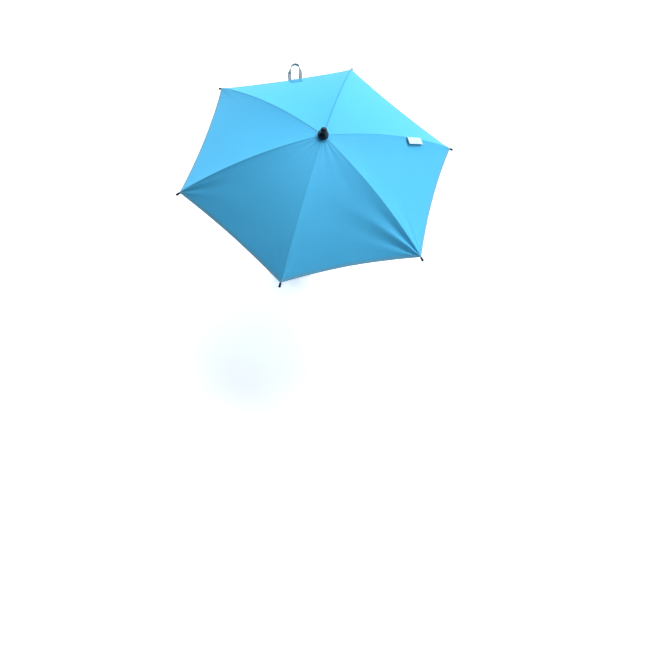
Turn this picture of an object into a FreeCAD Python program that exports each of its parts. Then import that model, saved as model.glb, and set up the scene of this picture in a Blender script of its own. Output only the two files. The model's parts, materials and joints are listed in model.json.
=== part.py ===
import FreeCAD, Part
import Sketcher
import math
import os

# Pram parasol: a six-rib folding canopy on a jointed pole, held by a clamp on a pram's tube.
# Millimetres, +Z up the pole. The origin is the centre of the gripped tube, which runs along Y.
# The first rib points along +X, and the others follow it every sixth of a turn.

RIB_COUNT = 6
RIB_STEP_ANGLE = 360 / RIB_COUNT

SIZES = {
    # Canopy and the bend of its ribs
    "canopy_radius": 345.0,
    "canopy_rise": 133.0,
    "rib_bow": 25.0,
    "cloth_thickness": 0.6,
    "cloth_gap": 1.1,
    "hem_scallop": 9.0,
    "crown_diameter": 38.0,
    "crown_thickness": 0.8,
    "crown_gap": 0.4,
    # The head's height above the gripped tube, the tilt joint's above the head's socket, and the
    # folded runner's above the tilt joint's sleeve
    "head_rise": 38.0,
    "elbow_height": 51.0,
    "runner_rest_gap": 21.5,
    # Clearances
    "seat_clearance": 0.02,
    "running_clearance": 0.06,
    "side_clearance": 0.3,
    "cut_overrun": 5.0,
    # Ribs and stretchers
    "rib_width": 3.4,
    "rib_height": 2.6,
    "rib_wall": 0.5,
    "eye_diameter": 4.6,
    "eye_reach": 7.0,
    "eye_tang": 9.0,
    "joint_reach": 150.0,
    "joint_drop": 3.8,
    "lug_length": 10.0,
    "lug_rim": 1.4,
    "rivet_diameter": 2.0,
    "rivet_head_diameter": 4.0,
    "rivet_head_height": 0.7,
    "stretcher_height": 3.0,
    "stretcher_groove_width": 0.8,
    "stretcher_groove_depth": 1.8,
    "stretcher_groove_end": 8.0,
    "fold_angle": 66.0,
    # Rib tips
    "tip_ball_diameter": 6.4,
    "tip_sleeve_diameter": 5.4,
    "tip_sleeve_length": 5.0,
    "tip_socket_depth": 4.0,
    # Notch and runner
    "pivot_radius": 12.0,
    "hub_diameter": 31.0,
    "hub_top": 1.3,
    "hub_bottom": 5.0,
    "wire_diameter": 1.5,
    "wire_clearance": 0.15,
    "notch_collar_diameter": 15.0,
    "notch_collar_length": 9.0,
    "runner_diameter": 16.0,
    "runner_length": 36.0,
    "runner_waist_diameter": 14.0,
    "runner_grip_diameter": 20.0,
    "runner_grip_length": 6.0,
    "runner_clearance": 0.15,
    # Pole
    "pole_diameter": 10.0,
    "pole_wall": 0.8,
    # Sprung catches in the pole
    "catch_width": 1.6,
    "catch_thickness": 0.9,
    "catch_height": 28.0,
    "catch_ramp_start": 15.0,
    "catch_nose_height": 3.0,
    "catch_nose_reach": 8.6,
    "catch_gap": 0.9,
    "catch_slot_width": 2.4,
    "catch_rise": 4.0,
    "catch_bar_offset": 1.6,
    "catch_bar_diameter": 1.2,
    "catch_eye_diameter": 2.2,
    # Ferrule
    "ferrule_diameter": 26.0,
    "ferrule_rim_height": 3.0,
    "ferrule_shoulder_height": 8.0,
    "ferrule_neck_diameter": 12.4,
    "ferrule_neck_height": 11.6,
    "ferrule_knob_diameter": 16.4,
    "ferrule_bore_depth": 10.0,
    # Tilt joint in the pole
    "elbow_sleeve_diameter": 19.0,
    "elbow_sleeve_length": 38.0,
    "elbow_shoulder": 14.0,
    "elbow_socket_depth": 22.0,
    "elbow_tongue_width": 9.0,
    "elbow_slot_depth": 11.5,
    "elbow_pin_diameter": 6.0,
    "elbow_pin_head_diameter": 10.0,
    "elbow_pin_head_height": 1.4,
    "elbow_lip_height": 3.0,
    "elbow_edge": 3.0,
    "button_height": 27.0,
    "button_boss_diameter": 12.0,
    "button_boss_reach": 15.0,
    "button_diameter": 8.0,
    "button_pocket_depth": 7.6,
    "button_proud": 2.8,
    "button_travel": 2.2,
    "button_dome": 1.0,
    "spring_thickness": 0.4,
    "spring_width": 3.6,
    "spring_half_length": 2.6,
    # Clamp head
    "head_fork_width": 18.0,
    "head_fork_radius": 10.0,
    "head_tongue_width": 8.0,
    "head_shoulder": 14.0,
    "head_slot_depth": 12.0,
    "head_edge": 3.0,
    "socket_height": 54.0,
    "socket_diameter": 19.0,
    "socket_depth": 36.0,
    "socket_lip_diameter": 21.0,
    "socket_lip_height": 4.0,
    "head_bolt_diameter": 6.0,
    "head_bolt_head_diameter": 11.0,
    "head_bolt_head_height": 3.4,
    "head_knob_diameter": 27.0,
    "head_knob_height": 12.0,
    "head_knob_hub_diameter": 13.0,
    "head_knob_hub_height": 4.0,
    "head_knob_bore_depth": 10.0,
    "head_knob_flute_diameter": 9.0,
    # End plug of the lower tube and the screw that keeps it in the socket
    "plug_height": 9.0,
    "plug_spigot": 8.0,
    "plug_groove_height": 3.4,
    "plug_groove_depth": 1.2,
    "plug_groove_start": 2.8,
    "socket_screw_diameter": 4.0,
    "socket_screw_point_diameter": 2.2,
    "socket_screw_point_length": 1.4,
    # Clamp
    "tube_diameter": 25.0,
    "clamp_width": 26.0,
    "liner_thickness": 2.0,
    "jaw_half_angle": 62.0,
    "jaw_wall": 7.5,
    "jaw_lip": 1.6,
    "bridge_clearance": 3.5,
    "bridge_thickness": 8.0,
    "clamp_corner_radius": 7.0,
    "clamp_edge": 1.5,
    "arm_thickness": 11.0,
    "arm_reach": 33.0,
    "arm_drop": 12.0,
    "screw_boss_diameter": 18.0,
    "screw_boss_height": 4.0,
    "pad_half_angle": 42.0,
    "pad_width": 22.0,
    "pad_half_height": 10.5,
    "pad_back": 22.0,
    "pad_socket_depth": 4.5,
    "screw_diameter": 8.0,
    "screw_point_diameter": 6.0,
    "screw_pitch": 2.5,
    "screw_turns_in": 2.8,
    "screw_turns_out": 4.0,
    "clamp_knob_diameter": 40.0,
    "clamp_knob_height": 14.0,
    "clamp_knob_hub_diameter": 16.0,
    "clamp_knob_hub_height": 3.0,
    "clamp_knob_flute_diameter": 12.0,
    "clamp_knob_clearance": 1.0,
    "knob_edge": 2.0,
    # Closure loop on the hem, and the label tag on the first rib's seam
    "loop_base_width": 26.0,
    "loop_width": 34.0,
    "loop_belly": 16.0,
    "loop_length": 50.0,
    "loop_top_width": 19.0,
    "loop_top_height": 6.0,
    "loop_flank_bulge": 2.0,
    "loop_thickness": 1.0,
    "loop_band": 12.0,
    "loop_gap": 0.3,
    "tag_length": 46.0,
    "tag_width": 18.0,
    "tag_thickness": 0.5,
    "tag_reach": 233.7,
    "tag_offset": 5.8,
    "tag_turn": 8.0,
}

LOOP_PLACE_SHARE = 0.43
CLAMP_KNOB_LOBES = 8
HEAD_KNOB_LOBES = 6

# Values that follow from the sizes. The ribs are arcs about one centre, and a rib's part between
# the notch and its joint is as long as the stretcher, so the runner stays on the pole as it folds.
DERIVED = {
    "chord": "sqrt(Sizes.canopy_radius^2 + Sizes.canopy_rise^2)",
    "cloth_radius": "(Derived.chord^2 / 4 + Sizes.rib_bow^2) / (2 * Sizes.rib_bow)",
    "half_bend": "asin(Derived.chord / 2 / Derived.cloth_radius) / 1 deg",
    "chord_slope": "atan(Sizes.canopy_rise / Sizes.canopy_radius) / 1 deg",
    "apex_slope": "Derived.chord_slope - Derived.half_bend",
    "tip_slope": "Derived.chord_slope + Derived.half_bend",
    "centre_reach": "-Derived.cloth_radius * sin(Derived.apex_slope * 1 deg)",
    "rib_radius": "Derived.cloth_radius - Sizes.cloth_thickness / 2 - Sizes.cloth_gap"
                  " - Sizes.rib_height / 2",
    "pivot_slope": "asin((Sizes.pivot_radius - Derived.centre_reach) / Derived.rib_radius) / 1 deg",
    "centre_height": "Derived.hub_height - Derived.rib_radius * cos(Derived.pivot_slope * 1 deg)",
    "apex_height": "Derived.centre_height + Derived.cloth_radius * cos(Derived.apex_slope * 1 deg)",
    "joint_turn": "Sizes.joint_reach / Derived.rib_radius * 180 / pi",
    "joint_slope": "Derived.pivot_slope + Derived.joint_turn",
    "joint_radius": "Derived.rib_radius - Sizes.joint_drop",
    "joint_out": "Derived.centre_reach + Derived.joint_radius * sin(Derived.joint_slope * 1 deg)",
    "joint_height": "Derived.hub_height - Derived.link_fall",
    "link_fall": "Derived.rib_radius * cos(Derived.pivot_slope * 1 deg)"
                 " - Derived.joint_radius * cos(Derived.joint_slope * 1 deg)",
    "link_out": "Derived.joint_out - Sizes.pivot_radius",
    "link_length": "sqrt(Derived.link_fall^2 + Derived.link_out^2)",
    "link_lean": "atan(Derived.link_out / Derived.link_fall) / 1 deg",
    "elbow_level": "Sizes.head_rise + Sizes.socket_height + Sizes.elbow_height",
    "runner_low": "Derived.elbow_level + Sizes.elbow_sleeve_length + Sizes.runner_rest_gap"
                  " + Sizes.runner_length",
    "hub_height": "Derived.runner_low + 2 * Derived.link_length"
                  " * cos((Derived.link_lean - Sizes.fold_angle) * 1 deg)",
    "runner_height": "Derived.hub_height - 2 * Derived.link_fall",
    "tip_turn": "Derived.tip_slope - Derived.pivot_slope",
    "rib_end_turn": "Derived.tip_turn - Derived.rib_end_gap / Derived.rib_radius * 180 / pi",
    "rib_end_gap": "Sizes.tip_ball_diameter / 2 + Sizes.tip_sleeve_length - Sizes.tip_socket_depth"
                   " + Sizes.side_clearance",
    "corner_turn": "Derived.tip_slope - (Sizes.tip_ball_diameter / 2 + Sizes.tip_sleeve_length"
                   " + Sizes.side_clearance) / Derived.rib_radius * 180 / pi",
    "corner_radius": "Derived.centre_reach + Derived.cloth_radius * sin(Derived.corner_turn * 1 deg)",
    "eye_thickness": "Sizes.rib_width - 2 * Sizes.rib_wall - 2 * Sizes.side_clearance",
    "hub_slot_width": "Derived.eye_thickness + 2 * Sizes.side_clearance",
    "hub_slot_start": "Sizes.pivot_radius - Sizes.eye_diameter / 2 - Sizes.side_clearance",
    "pole_radius": "Sizes.pole_diameter / 2",
    "pole_bore": "Sizes.pole_diameter / 2 - Sizes.pole_wall",
    "seat_radius": "Sizes.pole_diameter / 2 + Sizes.seat_clearance",
    "wire_hole": "Sizes.wire_diameter / 2 + Sizes.wire_clearance",
    "crown_fall": "tan(Derived.apex_slope * 1 deg)",
    "crown_base": "Derived.apex_height + Sizes.cloth_thickness / 2 + Sizes.crown_gap",
    "ferrule_base": "Derived.crown_base + Sizes.crown_thickness + Sizes.seat_clearance",
    "ferrule_knob_rise": "Sizes.ferrule_neck_height + sqrt(Sizes.ferrule_knob_diameter^2"
                         " - Sizes.ferrule_neck_diameter^2) / 2",
    "tube_top": "Derived.ferrule_base + Sizes.ferrule_bore_depth - Sizes.side_clearance",
    "socket_floor": "Sizes.head_rise + Sizes.socket_height - Sizes.socket_depth",
    "plug_base": "Derived.socket_floor + Sizes.side_clearance",
    "socket_screw_rise": "Derived.plug_base + Sizes.plug_groove_start + Sizes.plug_groove_height / 2"
                         " - Sizes.head_rise",
    "head_knob_base": "Sizes.head_fork_width / 2 + Sizes.side_clearance",
    "catch_inner": "Derived.catch_outer - Sizes.catch_thickness",
    "catch_outer": "Derived.pole_bore - Sizes.side_clearance - Sizes.seat_clearance",
    "catch_bar_length": "2 * (sqrt(Derived.pole_radius^2 - (Sizes.catch_bar_offset"
                        " + Sizes.catch_bar_diameter / 2)^2) - Sizes.running_clearance)",
    "open_catch_base": "Derived.runner_height - Sizes.runner_length - Sizes.catch_gap - Sizes.catch_height",
    "closed_catch_base": "Derived.runner_low + Sizes.hub_top + Sizes.catch_gap + Sizes.catch_height",
    "tube_radius": "Sizes.tube_diameter / 2",
    "saddle_radius": "Sizes.tube_diameter / 2 + Sizes.liner_thickness",
    "bridge_base": "Sizes.tube_diameter / 2 + Sizes.bridge_clearance",
    "bridge_top": "Derived.bridge_base + Sizes.bridge_thickness",
    "boss_end": "Sizes.arm_reach + Sizes.arm_thickness + Sizes.screw_boss_height",
    "knob_start": "Derived.boss_end + Sizes.screw_turns_in * Sizes.screw_pitch + Sizes.clamp_knob_clearance",
    "button_floor": "Sizes.button_boss_reach - Sizes.button_pocket_depth",
    "button_back": "Derived.button_floor + Sizes.button_travel + Sizes.button_dome",
}

doc = FreeCAD.newDocument("PramParasol")
sizes = doc.addObject("Spreadsheet::Sheet", "Sizes")
for row, (alias, value) in enumerate(SIZES.items(), start=1):
    sizes.set(f"A{row}", str(value))
    sizes.setAlias(f"A{row}", alias)
doc.recompute()

derived = doc.addObject("App::VarSet", "Derived")
for alias in DERIVED:
    derived.addProperty("App::PropertyFloat", alias)
for alias, expression in DERIVED.items():
    derived.setExpression(alias, expression)
doc.recompute()

sub_parts = []


def number(expression):
    """Value of an expression in the named sizes."""
    value = sizes.evalExpression(expression)
    return float(getattr(value, "Value", value))


def keep(item, label):
    """Name a finished sub-part and list it for export."""
    item.Label = label
    sub_parts.append(item)
    return item


def new_body(label):
    return keep(doc.addObject("PartDesign::Body", label), label)


def place(item, x="0", y="0", z="0", rotation=None):
    """Set a sub-part down at a place written in sizes, turned as a whole."""
    item.Placement = FreeCAD.Placement(FreeCAD.Vector(), rotation or FreeCAD.Rotation())
    for axis, text in zip("xyz", (x, y, z)):
        item.setExpression(f"Placement.Base.{axis}", text)


def about(axis, angle):
    return FreeCAD.Rotation(FreeCAD.Vector(*axis), angle)


def pin_point(sketch, item, end, x, y):
    """Hold one point of a sketch item at a place written in sizes."""
    for kind, axis, text in (("DistanceX", -2, x), ("DistanceY", -1, y)):
        if text == "0":
            sketch.addConstraint(Sketcher.Constraint("PointOnObject", item, end, axis))
        else:
            spot = sketch.addConstraint(Sketcher.Constraint(kind, -1, 1, item, end, number(text)))
            sketch.setExpression(f"Constraints[{spot}]", text)


def round_edge(sketch, start, via, end):
    """Add an arc through three points. Returns it with the numbers of its start and end points."""
    circle = Part.Circle(start, via, end)
    centre = circle.Center
    angles = [math.atan2(point.y - centre.y, point.x - centre.x) for point in (start, via, end)]
    sweep = (angles[2] - angles[0]) % math.tau
    forward = (angles[1] - angles[0]) % math.tau < sweep
    first, last = (angles[0], angles[2]) if forward else (angles[2], angles[0])
    flat = Part.Circle(centre, FreeCAD.Vector(0, 0, 1), circle.Radius)
    item = sketch.addGeometry(Part.ArcOfCircle(flat, first, last))
    return (item, 1, 2) if forward else (item, 2, 1)


def draw_outline(sketch, corners):
    """Closed outline. A corner is (x, y), or (x, y, via x, via y) where an arc leads to it."""
    places = [FreeCAD.Vector(number(corner[0]), number(corner[1])) for corner in corners]
    edges = []
    for index, corner in enumerate(corners):
        start, end = places[index - 1], places[index]
        if len(corner) == 2:
            edges.append((sketch.addGeometry(Part.LineSegment(start, end)), 1, 2))
        else:
            via = FreeCAD.Vector(number(corner[2]), number(corner[3]))
            edges.append(round_edge(sketch, start, via, end))
    for index, (item, first, last) in enumerate(edges):
        before = edges[index - 1]
        sketch.addConstraint(Sketcher.Constraint("Coincident", before[0], before[2], item, first))
    for (item, first, last), corner in zip(edges, corners):
        pin_point(sketch, item, last, corner[0], corner[1])
        if len(corner) > 2:
            via = FreeCAD.Vector(number(corner[2]), number(corner[3]))
            spot = sketch.addGeometry(Part.Point(via), True)
            pin_point(sketch, spot, 1, corner[2], corner[3])
            sketch.addConstraint(Sketcher.Constraint("PointOnObject", spot, 1, item))


def draw_circle(sketch, x, y, radius):
    centre = FreeCAD.Vector(number(x), number(y))
    item = sketch.addGeometry(Part.Circle(centre, FreeCAD.Vector(0, 0, 1), number(radius)))
    pin_point(sketch, item, 3, x, y)
    spot = sketch.addConstraint(Sketcher.Constraint("Radius", item, number(radius)))
    sketch.setExpression(f"Constraints[{spot}]", radius)


def profile(body, role, outlines=(), circles=(), offset=None):
    """Sketch on one of the body's own planes, shifted along the plane's normal by the offset."""
    sketch = body.newObject("Sketcher::SketchObject", f"{body.Label}_sketch")
    plane = next(item for item in body.Origin.OriginFeatures if item.Role == role)
    sketch.AttachmentSupport = [(plane, "")]
    sketch.MapMode = "FlatFace"
    if offset:
        sketch.setExpression("AttachmentOffset.Base.z", offset)
    for corners in outlines:
        draw_outline(sketch, corners)
    for circle in circles:
        draw_circle(sketch, *circle)
    return sketch


def extrude(kind, body, sketch, length, side="Symmetric", reverse=False):
    feature = body.newObject(f"PartDesign::{kind}", f"{body.Label}_{kind.lower()}")
    feature.Profile = sketch
    feature.SideType = side
    feature.Reversed = reverse
    feature.setExpression("Length", length)
    return feature


def pad(body, sketch, length, side="Symmetric", reverse=False):
    return extrude("Pad", body, sketch, length, side, reverse)


def pocket(body, sketch, length, side="Symmetric", reverse=False):
    return extrude("Pocket", body, sketch, length, side, reverse)


def revolve(body, corners):
    """Turned form about the body's Z axis, from an outline of (radius, height) corners."""
    sketch = profile(body, "XZ_Plane", [corners])
    feature = body.newObject("PartDesign::Revolution", f"{body.Label}_revolution")
    feature.Profile = sketch
    feature.ReferenceAxis = (sketch, ["V_Axis"])
    feature.Angle = 360
    return feature


def repeat_round(body, feature, count):
    """Repeat a cut evenly round the body's Z axis."""
    pattern = body.newObject("PartDesign::PolarPattern", f"{body.Label}_pattern")
    pattern.Originals = [feature]
    axis = next(item for item in body.Origin.OriginFeatures if item.Role == "Z_Axis")
    pattern.Axis = (axis, [""])
    pattern.Angle = 360
    pattern.Occurrences = count
    body.Tip = pattern
    return pattern


def round_edges(body, radius, wanted):
    """Fillet the straight edges of the body so far whose middle points are wanted."""
    doc.recompute()
    tip = body.Tip
    names = []
    for index, edge in enumerate(tip.Shape.Edges, start=1):
        if len(edge.Vertexes) == 2 and wanted(edge.CenterOfMass, edge):
            names.append(f"Edge{index}")
    feature = body.newObject("PartDesign::Fillet", f"{body.Label}_fillet")
    feature.Base = (tip, names)
    feature.setExpression("Radius", radius)
    return feature


def is_upright(edge):
    """Whether an edge runs straight up."""
    box, least = edge.BoundBox, number("Sizes.seat_clearance")
    return box.ZLength > least > max(box.XLength, box.YLength)


def is_corner(middle, half_x, half_y):
    """Whether a point lies on an upright corner of a block about the Z axis."""
    away = max(abs(abs(middle.x) - number(half_x)), abs(abs(middle.y) - number(half_y)))
    return away < number("Sizes.seat_clearance")


def box_corners(low_x, high_x, low_y, high_y):
    return [(low_x, low_y), (high_x, low_y), (high_x, high_y), (low_x, high_y)]


def ring_corners(inner, outer, low, high):
    return box_corners(inner, outer, low, high)


# Pole

def make_upper_tube():
    body = new_body("upper_tube")
    low = "Derived.elbow_level + Sizes.elbow_sleeve_length - Sizes.elbow_socket_depth + Sizes.seat_clearance"
    revolve(body, ring_corners("Derived.pole_bore", "Derived.pole_radius", low, "Derived.tube_top"))
    for base, way in (("Derived.open_catch_base", "+"), ("Derived.closed_catch_base", "-")):
        near = f"{base} {way} (Sizes.catch_ramp_start - Sizes.cut_overrun / 2)"
        far = f"{base} {way} (Sizes.catch_height + Sizes.cut_overrun / 2)"
        half = "Sizes.catch_slot_width / 2"
        slot = profile(body, "XZ_Plane", [box_corners(f"-{half}", half, near, far)])
        pocket(body, slot, "Sizes.pole_diameter", "One side")
        hole = "Sizes.catch_bar_diameter / 2 + Sizes.running_clearance"
        cross = profile(body, "YZ_Plane", circles=[("Sizes.catch_bar_offset", base, hole)])
        pocket(body, cross, "2 * Sizes.pole_diameter")


def make_catch(label, base, way):
    """Bent strip latch in the pole: a cross bar in the walls, a leg, and a nose out through a slot."""
    body = new_body(label)
    inner, outer = "Derived.catch_inner", "Derived.catch_outer"
    nose, strip = "Sizes.catch_nose_reach", "Sizes.catch_thickness"
    ramp, top = "Sizes.catch_ramp_start", "Sizes.catch_height"
    bar = "Sizes.catch_bar_offset"
    corners = [
        (f"{bar} - {strip} / 2", "0"),
        (f"{bar} + {strip} / 2", "0"),
        (outer, f"{way}Sizes.catch_rise"),
        (outer, f"{way}{ramp}"),
        (nose, f"{way}({top} - Sizes.catch_nose_height)"),
        (nose, f"{way}{top}"),
        (inner, f"{way}{top}"),
        (inner, f"{way}({top} - {strip})"),
        (f"{nose} - {strip}", f"{way}({top} - {strip})"),
        (f"{nose} - {strip}", f"{way}({top} - Sizes.catch_nose_height + {strip} / 2)"),
        (inner, f"{way}({ramp} + {strip} / 2)"),
        (inner, f"{way}Sizes.catch_rise"),
    ]
    pad(body, profile(body, "YZ_Plane", [corners]), "Sizes.catch_width")
    eye = profile(body, "YZ_Plane", circles=[(bar, "0", "Sizes.catch_eye_diameter / 2")])
    pad(body, eye, "Sizes.catch_width")
    cross_bar = profile(body, "YZ_Plane", circles=[(bar, "0", "Sizes.catch_bar_diameter / 2")])
    pad(body, cross_bar, "Derived.catch_bar_length")
    place(body, z=base)


def make_lower_tube():
    body = new_body("lower_tube")
    low = "Derived.plug_base + Sizes.plug_height + Sizes.seat_clearance"
    foot = "Derived.elbow_level - Sizes.elbow_sleeve_length"
    high = f"{foot} + Sizes.elbow_socket_depth - Sizes.seat_clearance"
    revolve(body, ring_corners("Derived.pole_bore", "Derived.pole_radius", low, high))


def make_tube_plug():
    """Plug in the foot of the lower tube, with a groove that the socket's screw runs in."""
    body = new_body("tube_plug")
    rim = "Derived.pole_radius"
    groove = "Derived.pole_radius - Sizes.plug_groove_depth"
    spigot = "Derived.pole_bore - Sizes.seat_clearance"
    start = "Sizes.plug_groove_start"
    end = "Sizes.plug_groove_start + Sizes.plug_groove_height"
    high = "Sizes.plug_height + Sizes.plug_spigot"
    revolve(body, [
        ("0", "0"), (rim, "0"), (rim, start), (groove, start), (groove, end), (rim, end),
        (rim, "Sizes.plug_height"), (spigot, "Sizes.plug_height"), (spigot, high), ("0", high),
    ])
    place(body, z="Derived.plug_base")


# Canopy hub, runner and crown

def hub_slots(body):
    """Slots for the eyes, open to the rim and through the hub's height."""
    half = "Derived.hub_slot_width / 2"
    corners = box_corners("Derived.hub_slot_start", "Sizes.hub_diameter / 2 + Sizes.cut_overrun",
                          f"-{half}", half)
    slot = profile(body, "XY_Plane", [corners])
    cut = pocket(body, slot, "2 * (Sizes.hub_top + Sizes.hub_bottom)")
    repeat_round(body, cut, RIB_COUNT)


def hub_rim():
    """Outline corners of a hub's rim and of the groove that its wire ring lies in."""
    rim = "Sizes.hub_diameter / 2"
    groove_half = "(Sizes.wire_diameter / 2 + Sizes.seat_clearance)"
    near, far = f"Sizes.pivot_radius - {groove_half}", f"Sizes.pivot_radius + {groove_half}"
    floor = f"-{groove_half}"
    return [(rim, "-Sizes.hub_bottom"), (rim, "Sizes.hub_top"), (far, "Sizes.hub_top"), (far, floor),
            (near, floor), (near, "Sizes.hub_top")]


def make_top_notch():
    body = new_body("top_notch")
    bore, collar = "Derived.seat_radius", "Sizes.notch_collar_diameter / 2"
    low = "-(Sizes.hub_bottom + Sizes.notch_collar_length)"
    revolve(body, [
        (bore, low), (collar, low), (collar, "-Sizes.hub_bottom"), *hub_rim(), (bore, "Sizes.hub_top"),
    ])
    hub_slots(body)
    place(body, z="Derived.hub_height")


def make_runner():
    """Sliding hub of the stretchers, with a waisted sleeve and a flared grip at its foot."""
    body = new_body("runner")
    bore = "Derived.pole_radius + Sizes.runner_clearance"
    sleeve, waist, grip = (f"Sizes.runner_{name}diameter / 2" for name in ("", "waist_", "grip_"))
    low = "-Sizes.runner_length"
    grip_top = "-(Sizes.runner_length - Sizes.runner_grip_length)"
    neck = "-(Sizes.runner_length + Sizes.hub_bottom) / 2"
    revolve(body, [
        (bore, low), (grip, low), (grip, grip_top), (sleeve, "-Sizes.hub_bottom", waist, neck),
        *hub_rim(), (bore, "Sizes.hub_top"),
    ])
    hub_slots(body)
    place(body, z="Derived.runner_height")


def make_wire_ring(label, height):
    ring = keep(doc.addObject("Part::Torus", label), label)
    ring.setExpression("Radius1", "Sizes.pivot_radius")
    ring.setExpression("Radius2", "Sizes.wire_diameter / 2")
    place(ring, z=height)


def make_crown_patch():
    body = new_body("crown_patch")
    inner, outer = "Derived.seat_radius", "Sizes.crown_diameter / 2"
    drop_in, drop_out = (f"-Derived.crown_fall * {radius}" for radius in (inner, outer))
    revolve(body, [
        (inner, drop_in), (outer, drop_out), (outer, f"{drop_out} + Sizes.crown_thickness"),
        (inner, f"{drop_in} + Sizes.crown_thickness"),
    ])
    place(body, z="Derived.crown_base")


def make_ferrule():
    """Pawn-shaped cap pressed on the top of the pole."""
    body = new_body("ferrule")
    bore, rim, neck = "Derived.seat_radius", "Sizes.ferrule_diameter / 2", "Sizes.ferrule_neck_diameter / 2"
    knob, middle = "Sizes.ferrule_knob_diameter / 2", "Derived.ferrule_knob_rise"
    shoulder, waist = "Sizes.ferrule_shoulder_height", "Sizes.ferrule_neck_height"
    under_in, under_out = (f"-Derived.crown_fall * {radius}" for radius in (bore, rim))
    diagonal = "cos(45 deg)"
    revolve(body, [
        ("0", "Sizes.ferrule_bore_depth"), (bore, "Sizes.ferrule_bore_depth"), (bore, under_in),
        (rim, under_out), (rim, "Sizes.ferrule_rim_height"),
        (f"({rim} + {neck}) / 2", shoulder,
         f"({rim} + {neck}) / 2 + ({rim} - {neck}) / 2 * {diagonal}",
         f"Sizes.ferrule_rim_height + ({shoulder} - Sizes.ferrule_rim_height) * {diagonal}"),
        (neck, waist),
        (knob, middle, f"{knob} * cos(15 deg)", f"{middle} - {knob} * sin(15 deg)"),
        ("0", f"{middle} + {knob}", f"{knob} * {diagonal}", f"{middle} + {knob} * {diagonal}"),
    ])
    place(body, z="Derived.ferrule_base")


# Ribs, stretchers and canopy

def rib_turn(index):
    return about((0, 0, 1), index * RIB_STEP_ANGLE)


def rib_place(item, index, out, height, tilt):
    """Set a piece down in a rib's upright plane."""
    angle = f"{index * RIB_STEP_ANGLE} deg"
    place(item, f"({out}) * cos({angle})", f"({out}) * sin({angle})", height, rib_turn(index) * tilt)


def make_rib(index):
    """Bent steel channel. Its own origin is the hub pivot, with X along the rib there."""
    body = new_body(f"rib_{index + 1}")
    half, low, high = "Sizes.rib_width / 2", "-Sizes.rib_height / 2", "Sizes.rib_height / 2"
    inner, web = "(Sizes.rib_width / 2 - Sizes.rib_wall)", "(Sizes.rib_height / 2 - Sizes.rib_wall)"
    section = profile(body, "YZ_Plane", [[
        (f"-{half}", low), (f"-{half}", high), (half, high), (half, low),
        (inner, low), (inner, web), (f"-{inner}", web), (f"-{inner}", low),
    ]])
    axis_low = FreeCAD.Vector(-number(half), -number("Derived.rib_radius"))
    axis_high = FreeCAD.Vector(number(half), -number("Derived.rib_radius"))
    axis = section.addGeometry(Part.LineSegment(axis_low, axis_high), True)
    pin_point(section, axis, 1, f"-{half}", "-Derived.rib_radius")
    pin_point(section, axis, 2, half, "-Derived.rib_radius")
    bend = body.newObject("PartDesign::Revolution", f"{body.Label}_revolution")
    bend.Profile = section
    bend.ReferenceAxis = (section, ["Axis0"])
    bend.setExpression("Angle", "Derived.rib_end_turn")
    # The channel is cut away at the hub, where a flattened tang carries the eye
    clear = box_corners("-Sizes.cut_overrun", "Sizes.eye_reach", "-Sizes.cut_overrun", "Sizes.cut_overrun")
    pocket(body, profile(body, "XZ_Plane", [clear]), "2 * Sizes.rib_width")
    eye = "Sizes.eye_diameter / 2"
    tang = box_corners("0", "Sizes.eye_reach + Sizes.eye_tang", low, web)
    pad(body, profile(body, "XZ_Plane", [tang]), "Derived.eye_thickness")
    pad(body, profile(body, "XZ_Plane", circles=[("0", "0", eye)]), "Derived.eye_thickness")
    pocket(body, profile(body, "XZ_Plane", circles=[("0", "0", "Derived.wire_hole")]), "2 * Sizes.rib_width")
    add_rib_lugs(body)
    dip = about((0, 1, 0), number("Derived.pivot_slope"))
    rib_place(body, index, "Sizes.pivot_radius", "Derived.hub_height", dip)


def rib_spot(radius, along):
    """Place in a rib's own plane, on an arc of the radius, a way along from the stretcher joint."""
    across, up = "sin(Derived.joint_turn * 1 deg)", "cos(Derived.joint_turn * 1 deg)"
    return (f"({radius}) * {across} + ({along}) * {up}",
            f"({radius}) * {up} - ({along}) * {across} - Derived.rib_radius")


def add_rib_lugs(body):
    """Two lugs that hang from the channel's walls and take the stretcher's rivet."""
    half, rim = "Sizes.lug_length / 2", "(Sizes.rivet_diameter / 2 + Sizes.lug_rim)"
    pin_spot = rib_spot("Derived.joint_radius", "0")
    wedge = [
        rib_spot("Derived.rib_radius", f"-{half}"), rib_spot("Derived.rib_radius", half),
        rib_spot("Derived.joint_radius", rim), rib_spot("Derived.joint_radius", f"-{rim}"),
    ]
    pad(body, profile(body, "XZ_Plane", [wedge]), "Sizes.rib_width")
    pad(body, profile(body, "XZ_Plane", circles=[(*pin_spot, rim)]), "Sizes.rib_width")
    under_web = "Derived.rib_radius + Sizes.rib_height / 2 - Sizes.rib_wall"
    below = f"Derived.joint_radius - {rim} - Sizes.side_clearance"
    past = f"({half} + Sizes.side_clearance)"
    gap = [
        rib_spot(under_web, f"-{past}"), rib_spot(under_web, past),
        rib_spot(below, past), rib_spot(below, f"-{past}"),
    ]
    pocket(body, profile(body, "XZ_Plane", [gap]), "Sizes.rib_width - 2 * Sizes.rib_wall")
    hole = "Sizes.rivet_diameter / 2 + Sizes.seat_clearance"
    pocket(body, profile(body, "XZ_Plane", circles=[(*pin_spot, hole)]), "2 * Sizes.rib_width")


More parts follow.
